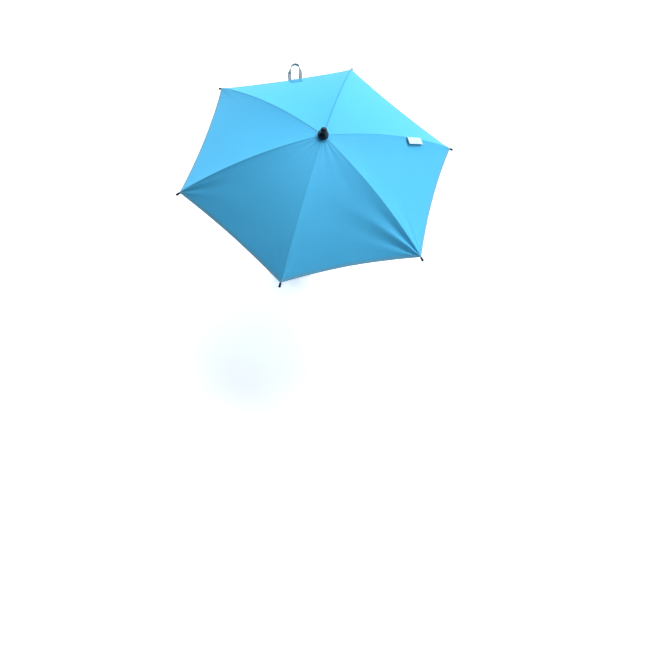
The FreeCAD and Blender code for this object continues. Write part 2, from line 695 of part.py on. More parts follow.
def make_stretcher(index):
    """Straight grooved strut with an eye at each end. Its own X runs from the rib to the runner."""
    body = new_body(f"stretcher_{index + 1}")
    half, eye, reach = "Sizes.stretcher_height / 2", "Sizes.eye_diameter / 2", "Derived.link_length"
    bar = profile(body, "XZ_Plane", [box_corners("0", reach, f"-{half}", half)])
    pad(body, bar, "Derived.eye_thickness")
    for end in ("0", reach):
        pad(body, profile(body, "XZ_Plane", circles=[(end, "0", eye)]), "Derived.eye_thickness")
    groove_half = "Sizes.stretcher_groove_width / 2"
    groove = box_corners("Sizes.stretcher_groove_end", f"{reach} - Sizes.stretcher_groove_end",
                         f"-{groove_half}", groove_half)
    channel = profile(body, "XY_Plane", [groove], offset=half)
    pocket(body, channel, "Sizes.stretcher_groove_depth", "One side")
    rivet_hole = "Sizes.rivet_diameter / 2 + Sizes.running_clearance"
    for end, hole in (("0", rivet_hole), (reach, "Derived.wire_hole")):
        pocket(body, profile(body, "XZ_Plane", circles=[(end, "0", hole)]), "2 * Sizes.rib_width")
    lean = about((0, 1, 0), 90 + number("Derived.link_lean"))
    rib_place(body, index, "Derived.joint_out", "Derived.joint_height", lean)


def make_rivet(index):
    body = new_body(f"rib_rivet_{index + 1}")
    shank, head = "Sizes.rivet_diameter / 2", "Sizes.rivet_head_diameter / 2"
    near = "(Sizes.rib_width / 2 + Sizes.seat_clearance)"
    far = f"({near} + Sizes.rivet_head_height)"
    revolve(body, [
        ("0", f"-{far}"), (shank, f"-{far}"), (head, f"-{near}"), (shank, f"-{near}"),
        (shank, near), (head, near), (shank, far), ("0", far),
    ])
    rib_place(body, index, "Derived.joint_out", "Derived.joint_height", about((1, 0, 0), 90))


def make_rib_tip(index):
    """Moulded ball cap on the end of a rib. Its own Z runs back along the rib from the ball's centre."""
    body = new_body(f"rib_tip_{index + 1}")
    ball, sleeve = "Sizes.tip_ball_diameter / 2", "Sizes.tip_sleeve_diameter / 2"
    mouth = f"({ball} + Sizes.tip_sleeve_length)"
    meet = f"sqrt(({ball})^2 - ({sleeve})^2)"
    revolve(body, [("0", f"-{ball}"), (sleeve, meet, ball, "0"), (sleeve, mouth), ("0", mouth)])
    wide, high = (f"Sizes.rib_{name} / 2 + Sizes.running_clearance" for name in ("width", "height"))
    socket = profile(body, "XY_Plane", [box_corners(f"-({high})", high, f"-({wide})", wide)], offset=mouth)
    pocket(body, socket, "Sizes.tip_socket_depth", "One side")
    back = about((0, 1, 0), number("Derived.tip_slope") - 90)
    out = "Derived.centre_reach + Derived.rib_radius * sin(Derived.tip_slope * 1 deg)"
    height = "Derived.centre_height + Derived.rib_radius * cos(Derived.tip_slope * 1 deg)"
    rib_place(body, index, out, height, back)


def gore_slab(inner, outer):
    """Curved slab over one half gore: a rib's arc, drawn in to the gore's middle line and run across it."""
    draw_in = math.cos(math.radians(RIB_STEP_ANGLE / 2))
    centre_out, centre_up = number("Derived.centre_reach"), number("Derived.centre_height")
    near, far = number("Sizes.pivot_radius"), number("Sizes.canopy_radius")
    edges = []
    ends = []
    for radius in (inner, outer):
        points = []
        middle = (near + far) / 2
        for out in (0.0, middle, far + number("Sizes.cut_overrun")):
            up = centre_up + math.sqrt(radius**2 - (out - centre_out)**2)
            points.append(FreeCAD.Vector(out * draw_in, 0, up))
        centre = FreeCAD.Vector(centre_out * draw_in, 0, centre_up)
        tall = centre + FreeCAD.Vector(0, 0, radius)
        wide = centre + FreeCAD.Vector(radius * draw_in, 0, 0)
        ellipse = Part.Ellipse(tall, wide, centre)
        first, last = sorted(ellipse.parameter(point) for point in (points[0], points[-1]))
        edges.append(Part.ArcOfEllipse(ellipse, first, last).toShape())
        ends.append((points[0], points[-1]))
    for one, other in zip(ends[0], ends[1]):
        edges.append(Part.makeLine(one, other))
    face = Part.Face(Part.Wire(Part.__sortEdges__(edges)))
    reach = FreeCAD.Vector(0, far, 0)
    face.translate(FreeCAD.Vector(0, -far, 0))
    slab = face.extrude(reach * 2)
    slab.rotate(FreeCAD.Vector(), FreeCAD.Vector(0, 0, 1), RIB_STEP_ANGLE / 2)
    return slab


def hem_point(corner, scallop, share):
    """Plan place on the hollowed hem, at a share of the way from this rib's corner to the next."""
    half_angle = math.radians(RIB_STEP_ANGLE / 2)
    half_chord = corner * math.sin(half_angle)
    bend = (half_chord**2 + scallop**2) / (2 * scallop)
    aside = half_chord * (2 * share - 1)
    out = corner * math.cos(half_angle) - scallop + bend - math.sqrt(bend**2 - aside**2)
    plan = FreeCAD.Vector(out, aside, 0)
    return about((0, 0, 1), RIB_STEP_ANGLE / 2).multVec(plan)


def half_gore_plan():
    """Upright prism over one half gore: from the rib to the gore's middle line, out to the hem."""
    corner, scallop = number("Derived.corner_radius"), number("Sizes.hem_scallop")
    near = number("Sizes.pivot_radius")
    middle_way = about((0, 0, 1), RIB_STEP_ANGLE / 2).multVec(FreeCAD.Vector(near, 0, 0))
    start, rib_corner = FreeCAD.Vector(near, 0, 0), FreeCAD.Vector(corner, 0, 0)
    hem_middle = hem_point(corner, scallop, 1 / 2)
    hem = Part.Arc(rib_corner, hem_point(corner, scallop, 1 / 4), hem_middle).toShape()
    edges = [
        Part.makeLine(start, rib_corner), hem,
        Part.makeLine(hem_middle, middle_way), Part.makeLine(middle_way, start),
    ]
    face = Part.Face(Part.Wire(edges))
    return face.extrude(FreeCAD.Vector(0, 0, 2 * number("Derived.hub_height")))


def make_canopy_panel(index):
    """Cloth over one rib: half of the gore on each side of it, creased along the rib."""
    panel = keep(doc.addObject("Part::Feature", f"canopy_{index + 1}"), f"canopy_{index + 1}")
    half_thick = number("Sizes.cloth_thickness") / 2
    middle = number("Derived.cloth_radius")
    half = gore_slab(middle - half_thick, middle + half_thick).common(half_gore_plan())
    other = half.mirror(FreeCAD.Vector(), FreeCAD.Vector(0, 1, 0))
    panel.Shape = half.fuse(other).removeSplitter()
    panel.Placement = FreeCAD.Placement(FreeCAD.Vector(), rib_turn(index))


def make_closure_loop(index):
    """See-through strap, bent to a tall arch and sewn to the hem beside a rib's half gore."""
    body = new_body("closure_loop")
    belly, top = "Sizes.loop_belly", "(Sizes.loop_length - Sizes.loop_top_height)"

    def arch(inset):
        base, wide, narrow = (f"(Sizes.loop_{name}width / 2 - {inset})" for name in ("base_", "", "top_"))
        flank_out, flank = f"({belly} + {top}) / 2", f"(({wide} + {narrow}) / 2 + Sizes.loop_flank_bulge)"
        return [
            (inset, f"-{base}"), (belly, f"-{wide}"), (top, f"-{narrow}", flank_out, f"-{flank}"),
            (top, narrow, f"Sizes.loop_length - {inset}", "0"), (belly, wide, flank_out, flank),
            (inset, base),
        ]

    pad(body, profile(body, "XY_Plane", [arch("0"), arch("Sizes.loop_thickness")]), "Sizes.loop_band")
    corner, scallop = number("Derived.corner_radius"), number("Sizes.hem_scallop")
    spot = hem_point(corner, scallop, LOOP_PLACE_SHARE)
    half_angle = math.radians(RIB_STEP_ANGLE / 2)
    outward = about((0, 0, 1), RIB_STEP_ANGLE / 2)
    local = outward.inverted().multVec(spot)
    rib_out = local.x / math.cos(half_angle) - number("Derived.centre_reach")
    height = number("Derived.centre_height") + math.sqrt(number("Derived.cloth_radius")**2 - rib_out**2)
    spot = rib_turn(index).multVec(spot + outward.multVec(FreeCAD.Vector(number("Sizes.loop_gap"), 0, 0)))
    spot.z = height
    body.Placement = FreeCAD.Placement(spot, rib_turn(index) * outward)


def make_label_tag(index):
    """Small bare ribbon tag that lies on the gore at the clockwise side of a rib's seam."""
    tag = keep(doc.addObject("Part::Box", "label_tag"), "label_tag")
    tag.setExpression("Length", "Sizes.tag_length")
    tag.setExpression("Width", "Sizes.tag_width")
    tag.setExpression("Height", "Sizes.tag_thickness")
    centre_out, bend = number("Derived.centre_reach"), number("Derived.cloth_radius")
    slope = math.asin((number("Sizes.tag_reach") - centre_out) / bend)
    lean = math.atan(math.sin(slope) * math.tan(math.radians(RIB_STEP_ANGLE / 2)))
    lie = about((0, 1, 0), math.degrees(slope)) * about((1, 0, 0), math.degrees(lean))
    turn = about((0, 0, 1), number("Sizes.tag_turn"))
    height = number("Derived.centre_height") + bend * math.cos(slope)
    spot = FreeCAD.Vector(number("Sizes.tag_reach"), 0, height)
    lift = number("Sizes.cloth_thickness / 2 + Sizes.crown_gap")
    middle = FreeCAD.Vector(0, -number("Sizes.tag_offset"), lift)
    corner = FreeCAD.Vector(-number("Sizes.tag_length") / 2, -number("Sizes.tag_width") / 2, 0)
    spot = spot + lie.multVec(middle + turn.multVec(corner))
    tag.Placement = FreeCAD.Placement(rib_turn(index).multVec(spot), rib_turn(index) * lie * turn)


# Tilt joint in the pole

def make_elbow_upper():
    """Upper half of the tilt joint: a tongue, a sleeve for the pole and a boss for the button."""
    body = new_body("elbow_upper")
    wide, high = "Sizes.elbow_sleeve_diameter / 2", "Sizes.elbow_sleeve_length"
    shoulder, lip = "Sizes.elbow_shoulder", "Derived.pole_radius + Sizes.pole_wall"
    revolve(body, [("0", shoulder), (wide, shoulder), (wide, f"{high} - Sizes.elbow_lip_height"),
                   (lip, high), ("0", high)])
    neck = box_corners(f"-{wide}", wide, "0", f"{shoulder} + Sizes.pole_wall")
    pad(body, profile(body, "XZ_Plane", [neck]), "Sizes.elbow_tongue_width")
    pad(body, profile(body, "XZ_Plane", circles=[("0", "0", wide)]), "Sizes.elbow_tongue_width")
    boss_round = "Sizes.button_boss_diameter / 2"
    boss = profile(body, "YZ_Plane", circles=[("0", "Sizes.button_height", boss_round)])
    pad(body, boss, "Sizes.button_boss_reach", "One side", True)
    socket = profile(body, "XY_Plane", circles=[("0", "0", "Derived.seat_radius")], offset=high)
    pocket(body, socket, "Sizes.elbow_socket_depth", "One side")
    button_hole = "Sizes.button_diameter / 2 + Sizes.running_clearance"
    mouth = profile(body, "YZ_Plane", circles=[("0", "Sizes.button_height", button_hole)],
                    offset="-Sizes.button_boss_reach")
    pocket(body, mouth, "Sizes.button_pocket_depth", "One side", True)
    pin_hole = "Sizes.elbow_pin_diameter / 2 + Sizes.running_clearance"
    cross = profile(body, "XZ_Plane", circles=[("0", "0", pin_hole)])
    pocket(body, cross, "2 * Sizes.elbow_sleeve_diameter")
    place(body, z="Derived.elbow_level")


def make_elbow_lower():
    """Lower half of the tilt joint: a fork and a sleeve for the lower tube."""
    body = new_body("elbow_lower")
    wide, low = "Sizes.elbow_sleeve_diameter / 2", "-Sizes.elbow_sleeve_length"
    shoulder, lip = "-Sizes.elbow_shoulder", "Derived.pole_radius + Sizes.pole_wall"
    revolve(body, [("0", low), (lip, low), (wide, f"{low} + Sizes.elbow_lip_height"), (wide, shoulder),
                   ("0", shoulder)])
    neck = box_corners(f"-{wide}", wide, f"{shoulder} - Sizes.elbow_lip_height", "0")
    pad(body, profile(body, "XZ_Plane", [neck]), "Sizes.elbow_sleeve_diameter")
    pad(body, profile(body, "XZ_Plane", circles=[("0", "0", wide)]), "Sizes.elbow_sleeve_diameter")
    round_edges(body, "Sizes.elbow_edge",
                lambda middle, edge: is_upright(edge) and is_corner(middle, wide, wide))
    clear = "Sizes.elbow_sleeve_diameter"
    gap = box_corners(f"-{clear}", clear, "-Sizes.elbow_slot_depth", clear)
    pocket(body, profile(body, "XZ_Plane", [gap]), "Sizes.elbow_tongue_width + 2 * Sizes.side_clearance")
    socket = profile(body, "XY_Plane", circles=[("0", "0", "Derived.seat_radius")], offset=low)
    pocket(body, socket, "Sizes.elbow_socket_depth", "One side", True)
    pin_hole = "Sizes.elbow_pin_diameter / 2 + Sizes.seat_clearance"
    cross = profile(body, "XZ_Plane", circles=[("0", "0", pin_hole)])
    pocket(body, cross, "2 * Sizes.elbow_sleeve_diameter")
    place(body, z="Derived.elbow_level")


def make_elbow_pin():
    body = new_body("elbow_pin")
    shank, head = "Sizes.elbow_pin_diameter / 2", "Sizes.elbow_pin_head_diameter / 2"
    near = "(Sizes.elbow_sleeve_diameter / 2 + Sizes.seat_clearance)"
    far = f"({near} + Sizes.elbow_pin_head_height)"
    edge = f"{head} - Sizes.elbow_pin_head_height / 2"
    revolve(body, [
        ("0", f"-{far}"), (edge, f"-{far}"), (head, f"-{near}"), (shank, f"-{near}"),
        (shank, near), (head, near), (edge, far), ("0", far),
    ])
    place(body, z="Derived.elbow_level", rotation=about((1, 0, 0), 90))


def make_tilt_button():
    """Domed push button. Its own Z runs outward from the pole, along -X."""
    body = new_body("tilt_button")
    wide, back = "Sizes.button_diameter / 2", "Derived.button_back"
    front = "(Sizes.button_boss_reach + Sizes.button_proud)"
    rim = f"({front} - Sizes.button_dome)"
    bend = f"((({wide})^2 + Sizes.button_dome^2) / (2 * Sizes.button_dome))"
    halfway = f"{front} - {bend} + sqrt({bend}^2 - ({wide} / 2)^2)"
    revolve(body, [("0", back), (wide, back), (wide, rim), ("0", front, f"{wide} / 2", halfway)])
    place(body, z="Derived.elbow_level + Sizes.button_height", rotation=about((0, 1, 0), -90))


def make_button_spring():
    """Bowed leaf spring between the button and the floor of its pocket."""
    body = new_body("button_spring")
    floor = "-(Derived.button_floor + Sizes.seat_clearance)"
    back = "-(Derived.button_back - Sizes.seat_clearance)"
    reach, leaf = "Sizes.spring_half_length", "Sizes.spring_thickness"
    low, middle, high = (f"Sizes.button_height{end}" for end in (f" - {reach}", "", f" + {reach}"))
    corners = [
        (f"{floor} - {leaf}", low), (f"{floor} - {leaf}", high, back, middle),
        (floor, high), (floor, low, f"{back} + {leaf}", middle),
    ]
    pad(body, profile(body, "XZ_Plane", [corners]), "Sizes.spring_width")
    place(body, z="Derived.elbow_level")


# Clamp head

def make_clamp_head():
    """Fork that tilts on the clamp, with a socket that the pole turns in."""
    body = new_body("clamp_head")
    wide, lip_wide = "Sizes.socket_diameter / 2", "Sizes.socket_lip_diameter / 2"
    high, shoulder = "Sizes.socket_height", "Sizes.head_shoulder"
    lip = "Sizes.socket_height - Sizes.socket_lip_height"
    revolve(body, [("0", shoulder), (wide, shoulder), (wide, f"{lip} - Sizes.socket_lip_height / 2"),
                   (lip_wide, lip), (lip_wide, high), ("0", high)])
    ear, side = "Sizes.head_fork_radius", "Sizes.head_fork_width / 2"
    neck = box_corners(f"-{ear}", ear, "0", f"{shoulder} + Sizes.socket_lip_height")
    pad(body, profile(body, "YZ_Plane", [neck]), "Sizes.head_fork_width")
    pad(body, profile(body, "YZ_Plane", circles=[("0", "0", ear)]), "Sizes.head_fork_width")
    round_edges(body, "Sizes.head_edge",
                lambda middle, edge: is_upright(edge) and is_corner(middle, side, ear))
    gap = box_corners(f"-2 * {ear}", f"2 * {ear}", f"-2 * {ear}", "Sizes.head_slot_depth")
    pocket(body, profile(body, "YZ_Plane", [gap]), "Sizes.head_tongue_width + 2 * Sizes.side_clearance")
    bore = "Derived.pole_radius + Sizes.running_clearance"
    socket = profile(body, "XY_Plane", circles=[("0", "0", bore)], offset=high)
    pocket(body, socket, "Sizes.socket_depth", "One side")
    hole = "Sizes.head_bolt_diameter / 2 + Sizes.seat_clearance"
    pocket(body, profile(body, "YZ_Plane", circles=[("0", "0", hole)]), "2 * Sizes.head_fork_width")
    screw_hole = "Sizes.socket_screw_diameter / 2 + Sizes.seat_clearance"
    drill = profile(body, "XZ_Plane", circles=[("0", "Derived.socket_screw_rise", screw_hole)])
    pocket(body, drill, "Sizes.socket_diameter", "One side")
    place(body, z="Sizes.head_rise")


def make_socket_screw():
    """Headless screw in the socket's wall, whose point runs in the plug's groove. Its own Z points out."""
    body = new_body("socket_screw")
    wide, point = "Sizes.socket_screw_diameter / 2", "Sizes.socket_screw_point_diameter / 2"
    tip = "(Derived.pole_radius - Sizes.plug_groove_depth + Sizes.side_clearance)"
    step = f"({tip} + Sizes.socket_screw_point_length)"
    out = "Sizes.socket_diameter / 2 - Sizes.pole_wall"
    revolve(body, [("0", tip), (point, tip), (point, step), (wide, step), (wide, out), ("0", out)])
    place(body, z="Sizes.head_rise + Derived.socket_screw_rise", rotation=about((1, 0, 0), -90))


def make_head_bolt():
    """Bolt across the fork. Its own Z runs along +X, with the head on the -X side."""
    body = new_body("head_bolt")
    shank, head = "Sizes.head_bolt_diameter / 2", "Sizes.head_bolt_head_diameter / 2"
    seat = "-(Sizes.head_fork_width / 2 + Sizes.seat_clearance)"
    low = f"{seat} - Sizes.head_bolt_head_height"
    high = "Derived.head_knob_base + Sizes.head_knob_bore_depth - Sizes.side_clearance"
    revolve(body, [
        ("0", low), (f"{head} * cos(45 deg)", low),
        (head, seat, f"{head} * cos(22 deg)", f"{seat} - Sizes.head_bolt_head_height * cos(45 deg)"),
        (shank, seat), (shank, high), ("0", high),
    ])
    place(body, z="Sizes.head_rise", rotation=about((0, 1, 0), 90))


def make_knob(label, name, base, bore, bore_depth, lobes):
    """Fluted hand knob on a short hub. Its own Z runs outward from the piece that it tightens."""
    body = new_body(label)
    wide, hub = f"Sizes.{name}_diameter / 2", f"Sizes.{name}_hub_diameter / 2"
    step, top = f"(Sizes.{name}_hub_height + {base})", f"(Sizes.{name}_height + {base})"
    floor, edge = f"{base} + {bore_depth}", "Sizes.knob_edge"
    revolve(body, [
        ("0", floor), (bore, floor), (bore, base), (hub, base), (hub, step), (f"{wide} - {edge}", step),
        (wide, f"{step} + {edge}"), (wide, f"{top} - {edge}"),
        (f"{wide} - {edge}", top), ("0", top),
    ])
    flute_round = f"Sizes.{name}_flute_diameter / 2"
    flute_place = f"{wide} + {flute_round} / 2"
    flute = profile(body, "XY_Plane", circles=[(flute_place, "0", flute_round)], offset=step)
    cut = pocket(body, flute, f"Sizes.{name}_height", "One side", True)
    repeat_round(body, cut, lobes)
    return body


# Clamp

def make_clamp_frame():
    """Moulded yoke over the tube: a fixed jaw, a bridge, a threaded arm and a tongue for the head."""
    body = new_body("clamp_frame")
    saddle, angle = "Derived.saddle_radius", "Sizes.jaw_half_angle * 1 deg"
    mouth, lip = f"{saddle} * cos({angle})", f"{saddle} * sin({angle})"
    outer = f"({saddle} + Sizes.jaw_wall)"
    foot = f"-({lip} + Sizes.jaw_lip)"
    inner, far = "-Sizes.arm_reach", "-(Sizes.arm_reach + Sizes.arm_thickness)"
    corners = [
        (outer, foot), (outer, "Derived.bridge_top"), (far, "Derived.bridge_top"), (far, "-Sizes.arm_drop"),
        (inner, "-Sizes.arm_drop"), (inner, "Derived.bridge_base"), (mouth, "Derived.bridge_base"),
        (mouth, lip), (mouth, f"-{lip}", saddle, "0"), (mouth, foot),
    ]
    pad(body, profile(body, "XZ_Plane", [corners]), "Sizes.clamp_width")
    high, end_out, end_in = number("Derived.bridge_top"), number(outer), number(far)

    def outer_corner(middle, edge):
        along = abs(edge.BoundBox.YLength - number("Sizes.clamp_width")) < number("Sizes.seat_clearance")
        at_end = min(abs(middle.x - end_out), abs(middle.x - end_in)) < number("Sizes.seat_clearance")
        return along and at_end

    round_edges(body, "Sizes.clamp_corner_radius", lambda middle, edge: outer_corner(middle, edge) and
                abs(middle.z - high) < number("Sizes.seat_clearance"))
    side, saddle_reach = number("Sizes.clamp_width") / 2, number(saddle)

    def side_edge(middle, edge):
        in_side = abs(abs(middle.y) - side) < number("Sizes.seat_clearance") > edge.BoundBox.YLength
        return in_side and math.hypot(middle.x, middle.z) > saddle_reach and middle.x < end_out * 2

    round_edges(body, "Sizes.clamp_edge", side_edge)
    boss = profile(body, "YZ_Plane", circles=[("0", "0", "Sizes.screw_boss_diameter / 2")], offset=inner)
    pad(body, boss, "Sizes.arm_thickness + Sizes.screw_boss_height", "One side", True)
    ear = "Sizes.head_fork_radius"
    tongue = box_corners(f"-{ear}", ear, "Derived.bridge_base + Sizes.pole_wall", "Sizes.head_rise")
    pad(body, profile(body, "YZ_Plane", [tongue]), "Sizes.head_tongue_width")
    pad(body, profile(body, "YZ_Plane", circles=[("0", "Sizes.head_rise", ear)]), "Sizes.head_tongue_width")
    hole = "Sizes.head_bolt_diameter / 2 + Sizes.running_clearance"
    cross = profile(body, "YZ_Plane", circles=[("0", "Sizes.head_rise", hole)])
    pocket(body, cross, "2 * Sizes.head_fork_width")
    thread = "Sizes.screw_diameter / 2 + Sizes.running_clearance"
    drill = profile(body, "YZ_Plane", circles=[("0", "0", thread)], offset=f"{inner} + Sizes.cut_overrun")
    pocket(body, drill, "Derived.boss_end + Sizes.cut_overrun", "One side")


def half_shell(body, inner, outer, angle, way, width):
    """Length of a split sleeve, between two radii and over an angle each side of the X axis."""
    cosine, sine = f"cos(Sizes.{angle} * 1 deg)", f"sin(Sizes.{angle} * 1 deg)"
    corners = [
        (f"{way}{outer} * {cosine}", f"-{outer} * {sine}"),
        (f"{way}{outer} * {cosine}", f"{outer} * {sine}", f"{way}{outer}", "0"),
        (f"{way}{inner} * {cosine}", f"{inner} * {sine}"),
        (f"{way}{inner} * {cosine}", f"-{inner} * {sine}", f"{way}{inner}", "0"),
    ]
    pad(body, profile(body, "XZ_Plane", [corners]), width)


def make_jaw_liner():
    body = new_body("jaw_liner")
    outer = "(Derived.saddle_radius - Sizes.seat_clearance)"
    half_shell(body, "Derived.tube_radius", outer, "jaw_half_angle", "", "Sizes.clamp_width")


def make_pad_liner():
    body = new_body("pad_liner")
    outer = "Derived.saddle_radius"
    half_shell(body, "Derived.tube_radius", outer, "pad_half_angle", "-", "Sizes.pad_width")


def make_clamp_pad():
    """Pressure pad: hollowed for its liner in front, with a socket for the screw's point behind."""
    body = new_body("clamp_pad")
    seat = "(Derived.saddle_radius + Sizes.seat_clearance)"
    rise, back = "Sizes.pad_half_height", "-Sizes.pad_back"
    front = f"-sqrt({seat}^2 - {rise}^2)"
    corners = [(back, f"-{rise}"), (front, f"-{rise}"), (front, rise, f"-{seat}", "0"), (back, rise)]
    pad(body, profile(body, "XZ_Plane", [corners]), "Sizes.pad_width")
    hole = "Sizes.screw_point_diameter / 2 + Sizes.running_clearance"
    socket = profile(body, "YZ_Plane", circles=[("0", "0", hole)], offset=back)
    pocket(body, socket, "Sizes.pad_socket_depth", "One side", True)


def make_clamp_screw():
    """Clamp screw with a plain point. Its own Z runs outward, along -X."""
    body = new_body("clamp_screw")
    wide, point = "Sizes.screw_diameter / 2", "Sizes.screw_point_diameter / 2"
    tip = "Sizes.pad_back - Sizes.pad_socket_depth + Sizes.side_clearance"
    step = "Sizes.pad_back + Sizes.side_clearance"
    out = "Derived.knob_start + Sizes.clamp_knob_height - Sizes.clamp_knob_hub_height - Sizes.side_clearance"
    revolve(body, [("0", tip), (point, tip), (point, step), (wide, step), (wide, out), ("0", out)])
    place(body, rotation=about((0, 1, 0), -90))


def make_clamp_knob():
    bore = "(Sizes.screw_diameter / 2 + Sizes.seat_clearance)"
    depth = "(Sizes.clamp_knob_height - Sizes.clamp_knob_hub_height)"
    body = make_knob("clamp_knob", "clamp_knob", "Derived.knob_start", bore, depth, CLAMP_KNOB_LOBES)
    place(body, rotation=about((0, 1, 0), -90))


def make_head_knob():
    bore = "(Sizes.head_bolt_diameter / 2 + Sizes.running_clearance)"
    depth = "Sizes.head_knob_bore_depth"
    body = make_knob("head_knob", "head_knob", "Derived.head_knob_base", bore, depth, HEAD_KNOB_LOBES)
    place(body, z="Sizes.head_rise", rotation=about((0, 1, 0), 90))


make_clamp_frame()
make_jaw_liner()
make_clamp_pad()
make_pad_liner()
make_clamp_screw()
make_clamp_knob()
make_clamp_head()
make_socket_screw()
make_head_bolt()
make_head_knob()
make_lower_tube()
make_tube_plug()
make_elbow_lower()
make_elbow_pin()
make_elbow_upper()
make_tilt_button()
make_button_spring()
make_upper_tube()
make_catch("open_catch", "Derived.open_catch_base", "")
make_catch("closed_catch", "Derived.closed_catch_base", "-")
make_top_notch()
make_wire_ring("notch_wire", "Derived.hub_height")
make_runner()
make_wire_ring("runner_wire", "Derived.runner_height")
make_crown_patch()
make_ferrule()
for rib_index in range(RIB_COUNT):
    make_rib(rib_index)
    make_stretcher(rib_index)
    make_rivet(rib_index)
    make_rib_tip(rib_index)
    make_canopy_panel(rib_index)
make_label_tag(0)
make_closure_loop(1)
doc.recompute()

# Nothing is written unless every feature solved and every cut took material away
for item in doc.Objects:
    if "Invalid" in item.State or "Error" in item.State:
        raise RuntimeError(f"{item.Label} failed: {item.State}")
    if item.TypeId == "PartDesign::Pocket" and item.Shape.Volume >= item.BaseFeature.Shape.Volume:
        raise RuntimeError(f"{item.Label} cuts nothing")
for item in sub_parts:
    if item.Shape.isNull() or not item.Shape.isValid() or not item.Shape.Solids:
        raise RuntimeError(f"{item.Label} has no sound solid")

os.makedirs("parts", exist_ok=True)
for item in sub_parts:
    item.Shape.exportStep(f"parts/{item.Label}.step")
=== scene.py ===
import json
import math
import bpy
import numpy as np
from mathutils import Matrix, Vector


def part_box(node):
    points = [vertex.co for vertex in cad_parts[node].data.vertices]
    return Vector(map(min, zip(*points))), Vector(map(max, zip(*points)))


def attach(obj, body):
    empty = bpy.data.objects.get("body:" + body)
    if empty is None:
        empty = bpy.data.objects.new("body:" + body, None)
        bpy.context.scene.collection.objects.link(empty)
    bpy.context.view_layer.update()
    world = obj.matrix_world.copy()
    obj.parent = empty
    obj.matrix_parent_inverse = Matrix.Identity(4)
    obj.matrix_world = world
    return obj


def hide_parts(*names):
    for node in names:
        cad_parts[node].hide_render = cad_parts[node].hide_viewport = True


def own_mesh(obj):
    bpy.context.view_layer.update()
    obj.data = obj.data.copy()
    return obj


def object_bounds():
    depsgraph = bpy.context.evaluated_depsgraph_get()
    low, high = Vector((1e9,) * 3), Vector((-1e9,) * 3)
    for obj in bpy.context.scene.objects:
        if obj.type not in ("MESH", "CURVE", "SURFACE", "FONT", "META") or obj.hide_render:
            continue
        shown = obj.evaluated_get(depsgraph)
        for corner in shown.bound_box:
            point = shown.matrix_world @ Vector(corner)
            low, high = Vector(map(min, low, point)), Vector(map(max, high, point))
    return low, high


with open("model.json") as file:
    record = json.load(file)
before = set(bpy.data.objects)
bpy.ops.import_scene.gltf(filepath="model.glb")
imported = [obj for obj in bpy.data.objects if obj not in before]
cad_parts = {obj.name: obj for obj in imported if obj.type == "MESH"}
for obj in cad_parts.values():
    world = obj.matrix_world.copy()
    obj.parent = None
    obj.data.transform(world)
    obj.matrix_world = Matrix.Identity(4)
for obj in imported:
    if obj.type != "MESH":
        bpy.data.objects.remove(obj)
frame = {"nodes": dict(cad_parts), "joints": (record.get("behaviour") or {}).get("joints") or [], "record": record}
cad_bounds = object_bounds()
nodes = frame["nodes"]
joints = {joint["name"]: joint for joint in frame["joints"]}

# Lengths are in millimetres until they go into Blender.
# Gores are numbered by the rib at their clockwise side.
MM = 0.001
RIBS = range(1, 7)
PITCH = 60
HALF = math.radians(PITCH / 2)
COS, SIN, TAN = math.cos(HALF), math.sin(HALF), math.tan(HALF)

# Canopy sizes, as in the part's source
CANOPY_RADIUS, CANOPY_RISE, RIB_BOW = 345.0, 133.0, 25.0
CLOTH_OVER_RIB = 2.7
TIP_SOCKET = 8.5
CHORD = math.hypot(CANOPY_RADIUS, CANOPY_RISE)
CLOTH_RADIUS = (CHORD**2 / 4 + RIB_BOW**2) / (2 * RIB_BOW)
RIB_RADIUS = CLOTH_RADIUS - CLOTH_OVER_RIB
CHORD_SLOPE = math.atan2(CANOPY_RISE, CANOPY_RADIUS)
HALF_BEND = math.asin(CHORD / 2 / CLOTH_RADIUS)
PIVOT_RADIUS = joints["canopy_fold"]["pos_m"][0] / MM
HUB_HEIGHT = joints["canopy_fold"]["pos_m"][2] / MM
CENTRE_OUT = -CLOTH_RADIUS * math.sin(CHORD_SLOPE - HALF_BEND)
CENTRE_UP = HUB_HEIGHT - math.sqrt(RIB_RADIUS**2 - (PIVOT_RADIUS - CENTRE_OUT)**2)
TIP_SLOPE = CHORD_SLOPE + HALF_BEND
CORNER = CENTRE_OUT + CLOTH_RADIUS * math.sin(TIP_SLOPE - TIP_SOCKET / RIB_RADIUS)
HALF_CHORD = CORNER * SIN
CLOTH_START, CLOTH_THICK = 10.6, 0.34
GORE_LENGTH = 284.0
# How far each gore's hem is hollowed
HEM_HOLLOWS = {1: 9.0, 2: 9.0, 3: 9.0, 4: 6.0, 5: 9.0, 6: 9.0}

# Sag of a gore at its mid-length and hem, and the tent-like drop beside each rib
SAG_MIDDLE, SAG_HEM, TENT_DROP, TENT_REACH = 13.0, 2.6, 2.2, 11.0
# Waves over the cloth: height, lengths out and across over two pi, and phases from gore to gore
WAVE, WAVE_OUT, WAVE_ACROSS, PHASE_OUT, PHASE_ACROSS = 0.4, 33.0, 24.0, 1.7, 0.9
# Puckers beside seams and hems: height, turn per millimetre, reach
SEAM_PUCKER, SEAM_TURN, SEAM_REACH = 0.10, 0.74, 4.0
HEM_PUCKER, HEM_TURN, HEM_REACH = 0.22, 0.48, 9.0
# Seam: depth and width of its groove, and height, place and width of the lip beside it
GROOVE, GROOVE_WIDTH = 0.5, 0.5
LIP, LIP_AT, LIP_WIDTH = 0.13, 1.5, 0.7
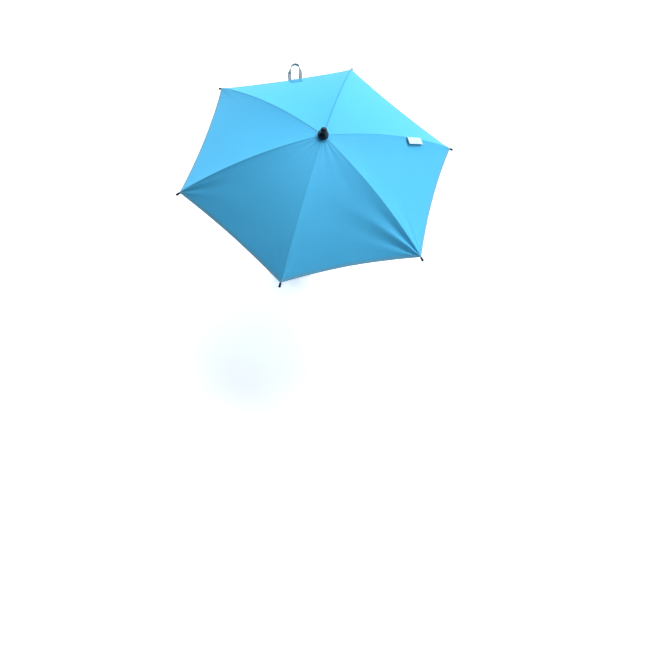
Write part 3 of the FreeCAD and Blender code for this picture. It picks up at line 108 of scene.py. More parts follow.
# Hem: where its turned-in edge ends, the step there, the stitched dent and the rolled edge
HEM_INNER, HEM_OUTER, HEM_STEP = 7.3, 6.3, 0.14
STITCH_AT, STITCH_DENT, STITCH_WIDTH = 5.4, 0.10, 0.5
ROLL, ROLL_WIDTH = 0.3, 0.5
# Distances from a seam over which folds at the crown, pulls, waves and puckers fade in
CROWN_FADE, TIP_FADE, WAVE_FADE, PUCKER_FADE = 2, 3, 6, 1.2

# Folds that fan out from the crown: angle from the gore's middle, height, angular width, length.
# Before them, the share of those heights that is used, and where the folds begin and are full.
CROWN_FOLD_SHARE, FOLD_FROM, FOLD_FULL = 0.75, 12, 34
CROWN_FOLDS = {
    1: [(-14, 0.5, 4, 50), (9, 0.4, 5, 40)],
    2: [(-17, 0.4, 4, 45), (2, 0.4, 5, 60), (18, 0.5, 4, 40)],
    3: [(-12, 0.5, 4, 55), (10, 0.5, 4, 45)],
    4: [(-21, 0.9, 3.2, 70), (-11, -0.7, 3.5, 60), (-3, 0.9, 3.2, 80), (7, -0.7, 3.5, 70),
        (16, 0.9, 3.0, 75)],
    5: [(-19, 0.9, 3.2, 80), (-9, -0.7, 3.2, 70), (1, 0.8, 3.4, 90), (11, -0.8, 3.2, 60),
        (20, 0.9, 3.0, 80)],
    6: [(-18, 0.7, 3.5, 50), (6, 0.4, 5, 50), (19, 0.4, 4, 40)],
}
# Pulls that run in from a rib tip: side of the gore, angle from the rib, height, angular width
# and reach
TIP_FOLDS = {
    1: [(-1, 14, 0.7, 5, 26), (1, 12, 0.6, 5, 24), (1, 26, -0.5, 6, 22)],
    2: [(-1, 13, 0.6, 5, 24), (1, 16, 0.8, 5, 28), (1, 30, -0.6, 6, 24)],
    3: [(-1, 14, 0.8, 5, 28), (-1, 28, -0.6, 6, 26), (1, 13, 0.8, 5, 26)],
    4: [(-1, 9, 1.0, 4, 34), (-1, 20, -1.0, 5, 34), (-1, 32, 0.8, 6, 30), (1, 10, 0.9, 4, 28),
        (1, 22, -0.8, 5, 28)],
    5: [(-1, 10, 0.9, 4, 28), (-1, 23, -0.7, 5, 26), (1, 9, -3.0, 4.5, 42), (1, 21, 4.2, 4.5, 44),
        (1, 32, -3.4, 4.5, 40), (1, 42, 1.4, 5, 34)],
    6: [(-1, 9, 1.1, 4, 34), (-1, 19, -1.0, 4.5, 32), (-1, 30, 0.7, 6, 28), (1, 12, 0.6, 5, 24)],
}


def smooth(value, low, high):
    share = np.clip((value - low) / (high - low), 0, 1)
    return share * share * (3 - 2 * share)


def bump_at(value, middle, width):
    return np.exp(-((value - middle) / width)**2)


def turned(x, y, z, degrees):
    """Points turned about the pole."""
    cos, sin = math.cos(math.radians(degrees)), math.sin(math.radians(degrees))
    return np.stack([x * cos - y * sin, x * sin + y * cos, z], -1)


def rib_height(out):
    """Height of the cloth over a rib."""
    return CENTRE_UP + np.sqrt(CLOTH_RADIUS**2 - (out - CENTRE_OUT)**2)


def hem_reach(gore, y):
    """How far out a gore's hem lies, y across from the gore's middle."""
    hollow = HEM_HOLLOWS[gore]
    bend = (HALF_CHORD**2 + hollow**2) / (2 * hollow)
    inside = np.clip(y, -HALF_CHORD, HALF_CHORD)
    return CORNER * COS - hollow + bend - np.sqrt(bend**2 - inside**2)


def seam_distance(x, y):
    return np.maximum((x * TAN - np.abs(y)) * COS, 0)


def cloth_height(gore, x, y):
    """Height of the cloth's upper face in a gore's own plan: x out along its middle, y across."""
    out = x / COS
    seam = seam_distance(x, y)
    hem = hem_reach(gore, y) - x
    inside = np.maximum(hem, 0)
    share = np.clip(y / (x * TAN), -1, 1)
    run = np.clip((x - CLOTH_START) / (GORE_LENGTH - CLOTH_START), 0, 1)
    sag = SAG_MIDDLE * run**1.2 * (1 - run) + SAG_HEM * run**2
    height = rib_height(out) + CLOTH_THICK / 2 - sag * (1 - share**2)
    height = height - TENT_DROP * run * (1 - np.exp(-seam / TENT_REACH))
    angle, reach = np.degrees(np.arctan2(y, x)), np.hypot(x, y)
    for middle, rise, width, length in CROWN_FOLDS[gore]:
        fan = bump_at(angle, middle, width) * smooth(reach, FOLD_FROM, FOLD_FULL)
        fan = fan * np.exp(-reach / length) * smooth(seam, 0, CROWN_FADE)
        height = height + CROWN_FOLD_SHARE * rise * fan
    for side, middle, rise, width, length in TIP_FOLDS[gore]:
        along = CORNER - (x * COS + side * y * SIN)
        apart = (x * TAN - side * y) * COS
        turn, away = np.degrees(np.arctan2(apart, along)), np.hypot(apart, along) / length
        pull = bump_at(turn, middle, width) * away * np.exp(1 - away)
        height = height + rise * pull * smooth(seam, 0, TIP_FADE)
    off_seam = smooth(seam, 0, WAVE_FADE)
    wave = np.sin(x / WAVE_OUT + PHASE_OUT * gore) * np.sin(y / WAVE_ACROSS + PHASE_ACROSS * gore)
    height = height + WAVE * wave * off_seam * run
    pucker = np.sin(out * SEAM_TURN + gore) * np.exp(-seam / SEAM_REACH)
    height = height + SEAM_PUCKER * pucker * smooth(seam, 0, PUCKER_FADE)
    pucker = np.sin(y * HEM_TURN + 2 * gore) * np.exp(-inside / HEM_REACH)
    height = height + HEM_PUCKER * pucker * off_seam
    height = height - GROOVE * bump_at(seam, 0, GROOVE_WIDTH)
    height = height + LIP * bump_at(seam, LIP_AT, LIP_WIDTH)
    height = height + HEM_STEP * (1 - smooth(hem, HEM_OUTER, HEM_INNER))
    height = height - STITCH_DENT * bump_at(hem, STITCH_AT, STITCH_WIDTH)
    return height - ROLL * np.exp(-inside / ROLL_WIDTH)


def cloth_top(x, y):
    """Height of the cloth's upper face over a place in plan."""
    turn = np.degrees(np.arctan2(y, x)) % 360
    height = np.zeros_like(x)
    for gore in RIBS:
        here = np.minimum(turn // PITCH, 5) + 1 == gore
        own = turned(x, y, height, PITCH / 2 - PITCH * gore)
        height[here] = cloth_height(gore, own[here, 0], own[here, 1])
    return height


def mesh_object(name, vertices, faces, material):
    """Smooth mesh from points in millimetres."""
    mesh = bpy.data.meshes.new(name)
    places = [tuple(point) for point in np.asarray(vertices, float) * MM]
    mesh.from_pydata(places, [], [tuple(face) for face in faces])
    mesh.polygons.foreach_set("use_smooth", [True] * len(mesh.polygons))
    mesh.materials.append(material)
    thing = bpy.data.objects.new(name, mesh)
    bpy.context.scene.collection.objects.link(thing)
    return thing


def set_values(thing, title, values):
    """Give a mesh one number at each vertex, for its material."""
    thing.data.attributes.new(title, "FLOAT", "POINT").data.foreach_set("value", values)


def put(thing, body, slot, *replaced):
    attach(thing, body)
    if replaced:
        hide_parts(*replaced)


def grid_faces(rows, columns, start=0, flip=False):
    faces = []
    for r in range(rows - 1):
        for c in range(columns - 1):
            a = start + r * columns + c
            quad = (a, a + 1, a + columns + 1, a + columns)
            faces.append(quad[::-1] if flip else quad)
    return faces


def ring_faces(rings, around, closed=False, start=0):
    """Faces of a swept form: rings of points one after another, joined up or capped at the ends."""
    faces = []
    for r in range(rings if closed else rings - 1):
        after = (r + 1) % rings
        for c in range(around):
            d = (c + 1) % around
            faces.append((r * around + c, r * around + d, after * around + d, after * around + c))
    if not closed:
        faces.append(tuple(range(around))[::-1])
        faces.append(tuple((rings - 1) * around + c for c in range(around)))
    return [tuple(start + corner for corner in face) for face in faces]


# Node materials

# Sockets that a Mix node uses for colours
MIX_FACTOR, MIX_FIRST, MIX_SECOND, MIX_RESULT = 0, 6, 7, 2
# Range in which a noise texture mostly stays
NOISE_LOW, NOISE_HIGH = 0.3, 0.7
# Scales of noise per metre: on hard surfaces, and for the clouds, slubs and creases of cloth
UNEVEN_SCALE, CLOUD_SCALE, SLUB_SCALE, CREASE_SCALE = 45, 14, 420, 105
# Hard surfaces: lift of their palest tone, spread of roughness, its grain, strength of the bumps
PALE_LIFT, GLOSS_LOW, GLOSS_HIGH, GLOSS_GRAIN, GRAIN_STRENGTH = 0.004, 0.82, 1.12, 0.03, 0.6
# Cloth: millimetres to a unit of its map, and the wavelength of its threads
UV_SCALE, THREAD_PITCH = 100, 0.52
# Stitches: distance from a seam, half widths and pitches, and the share of a pitch that is thread
SEAM_STITCH_AT, SEAM_STITCH, HEM_STITCH, STITCH_FILL = 2.1, (0.34, 3.2), (0.36, 3.0), 0.8
# Shades of a cloth's colour, and the share of the darker one in its slubs, creases and weave; in the weave it is
# painted shade in the dips
PALE_SHADE, DARK_SHADE, SLUB_SHARE, CREASE_SHARE, WEAVE_SHADE_SHARE = 0.955, 0.9, 0.35, 0.4, 0.10
# Bands of another colour along seams and hems: from, to, share at either end; the seam's is partly painted shade
SEAM_LINE_AND_SHADE, HEM_BAND, STITCH_SHARE = (0.3, 1.7, 0.9, 0.0), (1.0, 8.0, 0.85, 0.0), 0.9
WEAVE_RELIEF, STITCH_RELIEF, CREASE_RELIEF = 0.5, 2.5, 4.0
CLOTH_STRENGTH, CLOTH_DEPTH = 0.35, 0.00010


def new_material(name):
    material = bpy.data.materials.new(name)
    material.use_nodes = True
    tree = material.node_tree
    return material, tree, tree.nodes["Principled BSDF"]


def set_socket(tree, socket, value):
    """Link another socket to a socket, or set its value."""
    if isinstance(value, bpy.types.NodeSocket):
        tree.links.new(value, socket)
    else:
        socket.default_value = value


def set_inputs(tree, node, values):
    """Link or set a node's inputs by their titles."""
    for title, value in values.items():
        set_socket(tree, node.inputs[title], value)


def add_node(tree, kind, *inputs, **settings):
    """New node of a kind, with its first inputs in order."""
    node = tree.nodes.new("ShaderNode" + kind)
    for key, value in settings.items():
        setattr(node, key, value)
    for socket, value in zip(node.inputs, inputs):
        set_socket(tree, socket, value)
    return node


def maths(tree, operation, *inputs):
    return add_node(tree, "Math", *inputs, operation=operation).outputs[0]


def map_range(tree, value, low, high, to_low, to_high):
    return add_node(tree, "MapRange", value, low, high, to_low, to_high).outputs[0]


def spread(tree, value, low, high):
    return map_range(tree, value, NOISE_LOW, NOISE_HIGH, low, high)


def blend_colour(tree, factor, first, second):
    node = add_node(tree, "Mix", data_type="RGBA")
    set_socket(tree, node.inputs[MIX_FACTOR], factor)
    for index, colour in ((MIX_FIRST, first), (MIX_SECOND, second)):
        set_socket(tree, node.inputs[index], (*colour, 1) if isinstance(colour, tuple) else colour)
    return node.outputs[MIX_RESULT]


def noise(tree, place, scale, detail=3.0, rough=0.55):
    node = add_node(tree, "TexNoise")
    values = {"Vector": place, "Scale": scale, "Detail": detail, "Roughness": rough}
    set_inputs(tree, node, values)
    return node.outputs["Fac"]


def set_bump(tree, shader, height, strength, distance):
    node = add_node(tree, "Bump")
    set_inputs(tree, node, {"Strength": strength, "Distance": distance, "Height": height})
    tree.links.new(node.outputs[0], shader.inputs["Normal"])


def object_place(tree, stretch=(1, 1, 1)):
    node = add_node(tree, "Mapping", add_node(tree, "TexCoord").outputs["Object"])
    node.inputs["Scale"].default_value = stretch
    return node.outputs[0]


def attribute(tree, name):
    return add_node(tree, "Attribute", attribute_name=name).outputs["Fac"]


def solid_material(name, colour, rough, grain, depth, vary, metal=0.0, stretch=(1, 1, 1),
                   specular=0.5):
    """Hard surface with uneven colour and gloss, and a fine grain of a given scale and depth."""
    material, tree, shader = new_material(name)
    place = object_place(tree, stretch)
    broad, fine = noise(tree, place, UNEVEN_SCALE, 4), noise(tree, place, grain, 2)
    low = tuple(channel * (1 - vary) for channel in colour)
    high = tuple(min(channel * (1 + vary) + PALE_LIFT, 1) for channel in colour)
    tone = blend_colour(tree, spread(tree, broad, 0, 1), low, high)
    gloss = spread(tree, broad, rough * GLOSS_LOW, rough * GLOSS_HIGH)
    gloss = maths(tree, "ADD", gloss, spread(tree, fine, -GLOSS_GRAIN, GLOSS_GRAIN))
    set_inputs(tree, shader, {"Base Color": tone, "Roughness": gloss, "Metallic": metal,
                              "Specular IOR Level": specular})
    set_bump(tree, shader, fine, GRAIN_STRENGTH, depth)
    return material


def stitch_line(tree, distance, run, at, half_width, pitch):
    """Mask of a row of stitches that runs at a set distance from a seam or hem."""
    off = maths(tree, "ABSOLUTE", maths(tree, "SUBTRACT", distance, at))
    near = maths(tree, "SUBTRACT", 1.0, maths(tree, "DIVIDE", off, half_width))
    along = maths(tree, "FRACT", maths(tree, "DIVIDE", run, pitch))
    inside = maths(tree, "LESS_THAN", along, STITCH_FILL)
    return maths(tree, "MULTIPLY", maths(tree, "MAXIMUM", near, 0.0), inside)


def cloth_material(name, colour, edge_colour, thread_colour, hem_stitch=STITCH_AT):
    """Plain-woven cloth with stitched seams, read from the distances that the mesh carries."""
    material, tree, shader = new_material(name)
    split = add_node(tree, "SeparateXYZ", add_node(tree, "UVMap", uv_map="weave").outputs[0])
    turns = 2 * math.pi * UV_SCALE / THREAD_PITCH
    across, along = (maths(tree, "SINE", maths(tree, "MULTIPLY", split.outputs[axis], turns))
                     for axis in (0, 1))
    weave = maths(tree, "MULTIPLY", across, along)
    seam, hem = attribute(tree, "seam"), attribute(tree, "hem")
    seam_run, hem_run = attribute(tree, "seam_run"), attribute(tree, "hem_run")
    stitches = maths(tree, "MAXIMUM",
                     stitch_line(tree, seam, seam_run, SEAM_STITCH_AT, *SEAM_STITCH),
                     stitch_line(tree, hem, hem_run, hem_stitch, *HEM_STITCH))
    place = object_place(tree)
    cloud, slub = noise(tree, place, CLOUD_SCALE, 3), noise(tree, place, SLUB_SCALE, 2)
    crease = noise(tree, place, CREASE_SCALE, 3, 0.6)
    pale = tuple(channel * PALE_SHADE for channel in colour)
    dark = tuple(channel * DARK_SHADE for channel in colour)
    tone = blend_colour(tree, spread(tree, cloud, 0, 1), pale, colour)
    for factor, shade in (
            (maths(tree, "MULTIPLY", spread(tree, slub, 0, 1), SLUB_SHARE), dark),
            (maths(tree, "MULTIPLY", spread(tree, crease, 0, 1), CREASE_SHARE), dark),
            # Painted shade: the weave is darker in the dips between its threads
            (map_range(tree, weave, -1.0, 1.0, WEAVE_SHADE_SHARE, 0.0), dark),
            (maths(tree, "MULTIPLY", stitches, STITCH_SHARE), thread_colour),
            # Dark band along the seam: partly the seam's own line, partly painted shade beside the raised seam
            (map_range(tree, seam, *SEAM_LINE_AND_SHADE), thread_colour),
            (map_range(tree, hem, *HEM_BAND), edge_colour)):
        tone = blend_colour(tree, factor, tone, shade)
    set_inputs(tree, shader, {"Base Color": tone, "Roughness": spread(tree, slub, 0.58, 0.74),
                              "Specular IOR Level": 0.28, "Sheen Weight": 0.12,
                              "Sheen Roughness": 0.4})
    relief = maths(tree, "ADD", maths(tree, "MULTIPLY", weave, WEAVE_RELIEF),
                   maths(tree, "MULTIPLY", stitches, STITCH_RELIEF))
    relief = maths(tree, "ADD", relief, maths(tree, "MULTIPLY", crease, CREASE_RELIEF))
    set_bump(tree, shader, maths(tree, "ADD", relief, slub), CLOTH_STRENGTH, CLOTH_DEPTH)
    return material


# The strap's pale tone is painted light through the clear plastic; its smoky tone is its own colour
STRAP_PAINTED_LIGHT, STRAP_SMOKY = (0.60, 0.75, 0.78), (0.085, 0.165, 0.205)
STRAP_HAZE, FILM_TINT = (0.50, 0.66, 0.72), (0.82, 0.93, 0.97)


def strap_material():
    """Soft plastic: smoky where the strap is flat, painted pale where it is on edge as painted light through the
    clear plastic, clear as a film.
    """
    material, tree, shader = new_material("clear_strap")
    place = object_place(tree)
    haze, fine = noise(tree, place, 90, 3), noise(tree, place, 1400, 2)
    side, film = attribute(tree, "side"), attribute(tree, "film")
    tone = blend_colour(tree, side, STRAP_PAINTED_LIGHT, STRAP_SMOKY)
    tone = blend_colour(tree, film, tone, FILM_TINT)
    tone = blend_colour(tree, spread(tree, haze, 0, 0.15), tone, STRAP_HAZE)
    set_inputs(tree, shader, {"Base Color": tone, "Roughness": spread(tree, haze, 0.10, 0.22),
                              "Transmission Weight": maths(tree, "MULTIPLY", film, 0.9),
                              "IOR": 1.45})
    set_bump(tree, shader, fine, 0.4, 0.00004)
    return material


CLOTH_BLUE, HEM_BLUE, SEAM_BLUE = (0.088, 0.59, 0.985), (0.19, 0.46, 0.62), (0.03, 0.26, 0.48)
CROWN_EDGE = (0.07, 0.48, 0.82)
TAB_BLUE, TAB_EDGE, TAB_STITCH = (0.05, 0.41, 0.68), (0.035, 0.31, 0.53), (0.09, 0.48, 0.78)
cloth = cloth_material("parasol_cloth", CLOTH_BLUE, HEM_BLUE, SEAM_BLUE)
crown_cloth = cloth_material("crown_cloth", CLOTH_BLUE, CROWN_EDGE, CROWN_EDGE, hem_stitch=2.0)
tab_cloth = cloth_material("sewn_tab", TAB_BLUE, TAB_EDGE, TAB_STITCH, hem_stitch=1.5)
clear_strap = strap_material()
# Hard finishes: colour, roughness, scale and depth of the grain, and unevenness
satin = solid_material(
    "tag_satin", (0.64, 0.83, 0.86), 0.42, 2600, 0.00003, 0.03, stretch=(1, 4, 1))
strip_finish = solid_material("tag_dark_sheet", (0.03, 0.12, 0.17), 0.8, 1500, 0.0002, 0.3)
thread = solid_material("tie_thread", (0.04, 0.30, 0.55), 0.8, 3000, 0.0001, 0.15)
bright_steel = solid_material(
    "nickel_steel", (0.58, 0.59, 0.60), 0.22, 900, 0.00001, 0.08, metal=1.0)
by_slot = {
    "gloss_black": solid_material(
        "gloss_black_moulding", (0.002, 0.018, 0.040), 0.2, 160, 0.00001, 0.2, specular=0.25),
    "black_plastic": solid_material(
        "black_moulding", (0.022, 0.023, 0.025), 0.5, 1700, 0.00005, 0.2),
    "knob_plastic": solid_material(
        "knob_moulding", (0.028, 0.029, 0.031), 0.58, 1300, 0.00007, 0.2),
    "button_plastic": solid_material(
        "button_moulding", (0.30, 0.31, 0.33), 0.34, 1500, 0.00002, 0.06),
    "rib_steel": solid_material(
        "zinc_steel", (0.60, 0.61, 0.63), 0.34, 700, 0.00002, 0.12, metal=1.0),
    "bright_steel": bright_steel,
    "pole_tube": solid_material(
        "anodised_tube", (0.50, 0.51, 0.53), 0.36, 500, 0.00001, 0.05, metal=1.0,
        stretch=(6, 6, 0.25)),
    "grip_rubber": solid_material(
        "grip_rubber", (0.03, 0.03, 0.031), 0.85, 1100, 0.0001, 0.2, specular=0.3),
}
for part in frame["record"]["subparts"]:
    finish = by_slot.get(part["material_slot"])
    if finish:
        mesh = nodes[part["node"]].data
        mesh.materials.clear()
        mesh.materials.append(finish)


# Canopy: half gores sewn together along the ribs, that meet unmarked along the gores' middles

# Distances of the grid's columns from the seam, the last with no limit, and of its last rows
# from the hem
NO_LIMIT = 1000
SEAM_STEPS = [0, 0.35, 0.8, 1.4, 2.1, 3.2, 5, 7, 9, 11, 13.5, 16, 19, 22, 25.5, 29, 33, 37.5,
              42.5, 48, 54.5, 62, 71, 81, 92, 104, 119, NO_LIMIT]
HEM_STEPS = [11, 9, 7.8, 7.2, 6.6, 5.8, 5.4, 5.0, 4.0, 2.2, 1.2, 0.5, 0]
ROWS, REACH_PASSES = 60, 12
# Slope of the pull that gathers the cloth as the canopy folds, and the share of its width left
FOLD_LEAN, FOLD_KEEP = 20, 0.16
# Narrowing of each rib's seam band, partly painted shade that varies by rib: higher shows less of it
SEAM_SHADE_NARROWING = {1: 2.2, 2: 1.2, 3: 0.9, 4: 0.9, 5: 4.5, 6: 1.8}
# Cloth that is turned in along seams and hems
SEAM_LAYER, HEM_LAYER = 0.4, 0.3
# Distance that keeps a sheet clear of the stitches and edges of a seam or hem it doesn't have
NO_SEAM = 60.0


def cloth_facts(u, v, seam=NO_SEAM, seam_run=NO_SEAM, hem=NO_SEAM, hem_run=NO_SEAM):
    """What a material reads at points: place in the weave, and distances at seam and hem."""
    facts = np.broadcast_arrays(u / UV_SCALE, v / UV_SCALE, seam, seam_run, hem, hem_run)
    return np.stack(facts, -1)


def half_panel(gore, side):
    """Plan of half a gore in rows and columns, from the seam to one column past its middle."""
    steps = np.append(SEAM_STEPS, NO_LIMIT)
    share = np.arange(len(steps)) / (len(steps) - 2)
    reach = np.full(len(steps), CORNER * COS)
    for _ in range(REACH_PASSES):
        apart = np.minimum(steps, share * reach * SIN)
        reach = hem_reach(gore, reach * TAN - apart / COS)
    fractions = np.linspace(0, 1, ROWS)[:-1, None]
    inner = CLOTH_START + fractions * (reach[None] - HEM_STEPS[0] - CLOTH_START)
    x = np.vstack([inner, np.array([reach - step for step in HEM_STEPS])])
    apart = np.minimum(steps[None], share[None] * x * SIN)
    return x, (x * TAN - apart / COS) * -side


def grid_normals(points):
    normals = np.cross(np.gradient(points, axis=1), np.gradient(points, axis=0))
    normals /= np.linalg.norm(normals, axis=2, keepdims=True)
    return normals * np.sign(normals[..., 2:3])


def panel_grid(rib):
    """Upper points, normals and facts of the cloth over one rib, across both of its half gores."""
    halves = []
    for side in (-1, 1):
        gore = rib if side > 0 else (rib - 2) % 6 + 1
        x, y = half_panel(gore, side)
        points = turned(x, y, cloth_height(gore, x, y), PITCH * (rib - 1) + side * PITCH / 2)
        arc = CLOTH_RADIUS * np.arcsin((x / COS - CENTRE_OUT) / CLOTH_RADIUS)
        # Each rib's dark seam band, partly painted shade, is drawn narrower or wider by rib
        seam = seam_distance(x, y) * SEAM_SHADE_NARROWING[rib]
        hem = np.maximum(hem_reach(gore, y) - x, 0)
        halves.append((points, cloth_facts(y, arc, seam, x / COS, hem, y)))
    points, facts = (np.concatenate([left[:, :0:-1], right], 1) for left, right in zip(*halves))
    return points[:, 1:-1], grid_normals(points)[:, 1:-1], facts[:, 1:-1]


def thin_sheet(name, points, normals, thick, facts, material):
    """Sheet with two faces and a rim, from a grid of points on its upper face."""
    rows, columns = points.shape[:2]
    under = points - normals * thick
    ring = [(0, c) for c in range(columns)] + [(r, columns - 1) for r in range(1, rows)]
    ring += [(rows - 1, c) for c in range(columns - 2, -1, -1)]
    ring += [(r, 0) for r in range(rows - 2, 0, -1)]
    along = tuple(np.array(ring).T)
    size, around = rows * columns, len(ring)
    vertices = [points.reshape(-1, 3), under.reshape(-1, 3), points[along], under[along]]
    faces = grid_faces(rows, columns, 0, True) + grid_faces(rows, columns, size)
    for index in range(around):
        first, second = 2 * size + index, 2 * size + (index + 1) % around
        faces.append((first, second, second + around, first + around))
    sheet = mesh_object(name, np.concatenate(vertices), faces, material)
    mesh = sheet.data
    flat_facts = facts.reshape(size, -1)
    every = np.concatenate([flat_facts, flat_facts, facts[along], facts[along]])
    corners = np.zeros(len(mesh.loops), int)
    mesh.loops.foreach_get("vertex_index", corners)
    mesh.uv_layers.new(name="weave").data.foreach_set("uv", every[corners, :2].ravel())
    for column, title in enumerate(("seam", "seam_run", "hem", "hem_run"), start=2):
        set_values(sheet, title, every[:, column])
    upward = normals.reshape(-1, 3)
    custom = np.concatenate([upward, -upward, np.zeros((2 * around, 3))])
    mesh.normals_split_custom_set_from_vertices([tuple(normal) for normal in custom])
    return sheet


def squash_with_rib(thing, rib):
    """Give a soft piece on one side of a rib its own mesh; where it would gather beside that rib as the canopy
    folds is worked out but not applied.
    """
    turn, lean = math.radians(PITCH * (rib - 1)), math.radians(FOLD_LEAN)
    out = np.array([math.cos(turn), math.sin(turn), 0])
    lift = out * math.sin(CHORD_SLOPE) + np.array([0, 0, math.cos(CHORD_SLOPE)])
    middle = out * CANOPY_RADIUS / 2 + np.array([0, 0, rib_height(0) - CANOPY_RISE / 2])
    middle = middle + lift * RIB_BOW
    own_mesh(thing)


def make_canopy_panel(rib):
    """Cloth over one rib, sewn along it from the half gores at its two sides."""
    points, normals, facts = panel_grid(rib)
    seam, hem = facts[..., 2:3], facts[..., 4:5]
    thick = CLOTH_THICK + SEAM_LAYER * (1 - smooth(seam, 4.5, 6.0))
    thick = thick + HEM_LAYER * (1 - smooth(hem, 6.2, 7.4))
    sewn = points.shape[1] // 2
    for side, letter, half in ((-1, "a", np.s_[:, :sewn + 1]), (1, "b", np.s_[:, sewn:])):
        sheet = thin_sheet(f"cloth_panel_{rib}{letter}", points[half], normals[half], thick[half],
                           facts[half], cloth)
        put(sheet, f"rib_arm_{rib}", "cloth", f"canopy_{rib}")
        squash_with_rib(sheet, rib)


for rib_number in RIBS:
    make_canopy_panel(rib_number)


# Small sewn and fitted pieces

DISC_RADII = np.array([5.3, 7, 9, 11, 12.5, 14, 15.2, 16.2, 16.8, 17.2, 17.8, 18.4, 18.9, 19.0])
DISC_STEPS, DISC_THICK, DISC_OVER_CLOTH = 144, 0.5, 0.55
# The disc's middle: how far it lies under its solid's top, the radius there and the slope
DISC_UNDER_TOP, DISC_TOP_RADIUS, DISC_SLOPE = 0.1, 5.02, 0.099
# Gathers and their height, the stitched dent, the rolled edge, and the cloth that gathers take up
DISC_GATHERS, GATHER, DISC_DENT, DISC_ROLL, GATHER_AREA = 23, 0.10, 0.12, 0.3, 1.02


def make_crown_disc():
    """Sewn disc under the ferrule that closes the canopy's middle, drawn up in small gathers."""
    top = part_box("crown_patch")[1][2] / MM - DISC_UNDER_TOP
    hole, rim = DISC_RADII[0], DISC_RADII[-1]
    r, a = DISC_RADII[:, None], np.linspace(0, 2 * math.pi, DISC_STEPS + 1)[None]
    x, y = r * np.cos(a), r * np.sin(a)
    gather = np.sin(DISC_GATHERS * a + 0.7 * np.sin(5 * a))
    gather = gather * smooth(r, 7, 13) * (1 - smooth(r, 16.5, 18.5))
    height = top - DISC_SLOPE * (r - DISC_TOP_RADIUS)
    height = height + (cloth_top(x, y) + DISC_OVER_CLOTH - height) * smooth(r, 11, 16)
    height = height + GATHER * gather - DISC_DENT * bump_at(r, 17.0, 0.6)
    height = height - DISC_ROLL * smooth(r, 18.2, rim)
    points = np.stack([x, y, height], -1)
    facts = cloth_facts(x, y, hem=rim - r, hem_run=r * a)
    disc = thin_sheet("crown_disc", points, grid_normals(points), DISC_THICK, facts, crown_cloth)
    put(disc, "upper_pole", "cloth", "crown_patch")


# The closure loop and its tab, on the hem of the gore between the second and third ribs
LOOP_GORE, LOOP_SHARE = 2, 0.43
LOOP_ASIDE = HALF_CHORD * (2 * LOOP_SHARE - 1)
# How far the loop is shifted along the hem and out from it, and its lean sideways
LOOP_SHIFT, LOOP_GAP, LOOP_LEAN = 5.0, 0.3, 0.235
LOOP_HEM = float(hem_reach(LOOP_GORE, LOOP_ASIDE))
LOOP_OUT = LOOP_HEM + LOOP_GAP
LOOP_HEIGHT = float(cloth_height(LOOP_GORE, np.array(LOOP_HEM), np.array(LOOP_ASIDE)))
# One leg of the loop, out from the hem and aside from its middle, and its tip
LOOP_LEG = [(-8, 13.2), (0, 13.6), (8, 14.1), (16, 14.4), (29, 13.7), (37, 12.2), (43, 9.8),
            (47, 6.0)]
LOOP_TIP, LOOP_STEPS = 49, 121
# The loop lies under the cloth, follows its slope inside the hem with a rounded bend, and curls up
LOOP_UNDER, LOOP_SLOPE, LOOP_BEND, LOOP_CURL = 2.2, 0.29, 3.0, 0.0004
# Where the strap starts to turn on edge and has turned, and where and how much it is painted paler, as painted
# light through it
TWIST_FROM, TWIST_TO, PALE_FROM, PALE_SHARE = 14, 46, 40, 0.45
# The strap's section, through its thickness and across its width
STRAP_SECTION = ((-0.5, -4), (-0.5, 4), (-0.3, 4.3), (0.3, 4.3), (0.5, 4), (0.5, -4),
                 (0.3, -4.3), (-0.3, -4.3))
FILM_ROWS, FILM_COLUMNS, FILM_HALF_THICK = range(10, 58), 9, 0.12
# Edges of the strap and of the screw that bend by less than this look smooth
STRAP_SMOOTH, SCREW_SMOOTH = math.radians(35), math.radians(32)
TAB_HALF, TAB_DEPTH, TAB_SHIFT, TAB_COLUMNS = 15.5, 27, 3.4, 41
TAB_OVER_CLOTH, TAB_EDGE_DROP, TAB_FOLD_DROP, TAB_THICK = 0.75, 0.45, 1.1, 0.4
# Distances of the tab's rows from the hem
TAB_ROWS = np.array([TAB_DEPTH, 26.6, 26, 25, 23.5, 21.5, 19, 16.5, 14, 11.5, 9, 7, 5.6, 4.2, 3,
                     2, 1.2, 0.6, 0.1, -0.3])


def curve_through(points, count):
    """Smooth run of points through a few given ones."""
    points = np.asarray(points, float)
    around = np.vstack([2 * points[0] - points[1], points, 2 * points[-1] - points[-2]])
    spots = np.linspace(0, len(points) - 1, count)
    index = np.minimum(spots.astype(int), len(points) - 2)
    t = (spots - index)[:, None]
    a, b, c, d = (around[index + step] for step in range(4))
    square, cube = 2 * a - 5 * b + 4 * c - d, 3 * b - 3 * c + d - a
    return (2 * b + (c - a) * t + square * t**2 + cube * t**3) / 2


def to_gore(x, y, z):
    return turned(x, y, z, PITCH * LOOP_GORE - PITCH / 2)


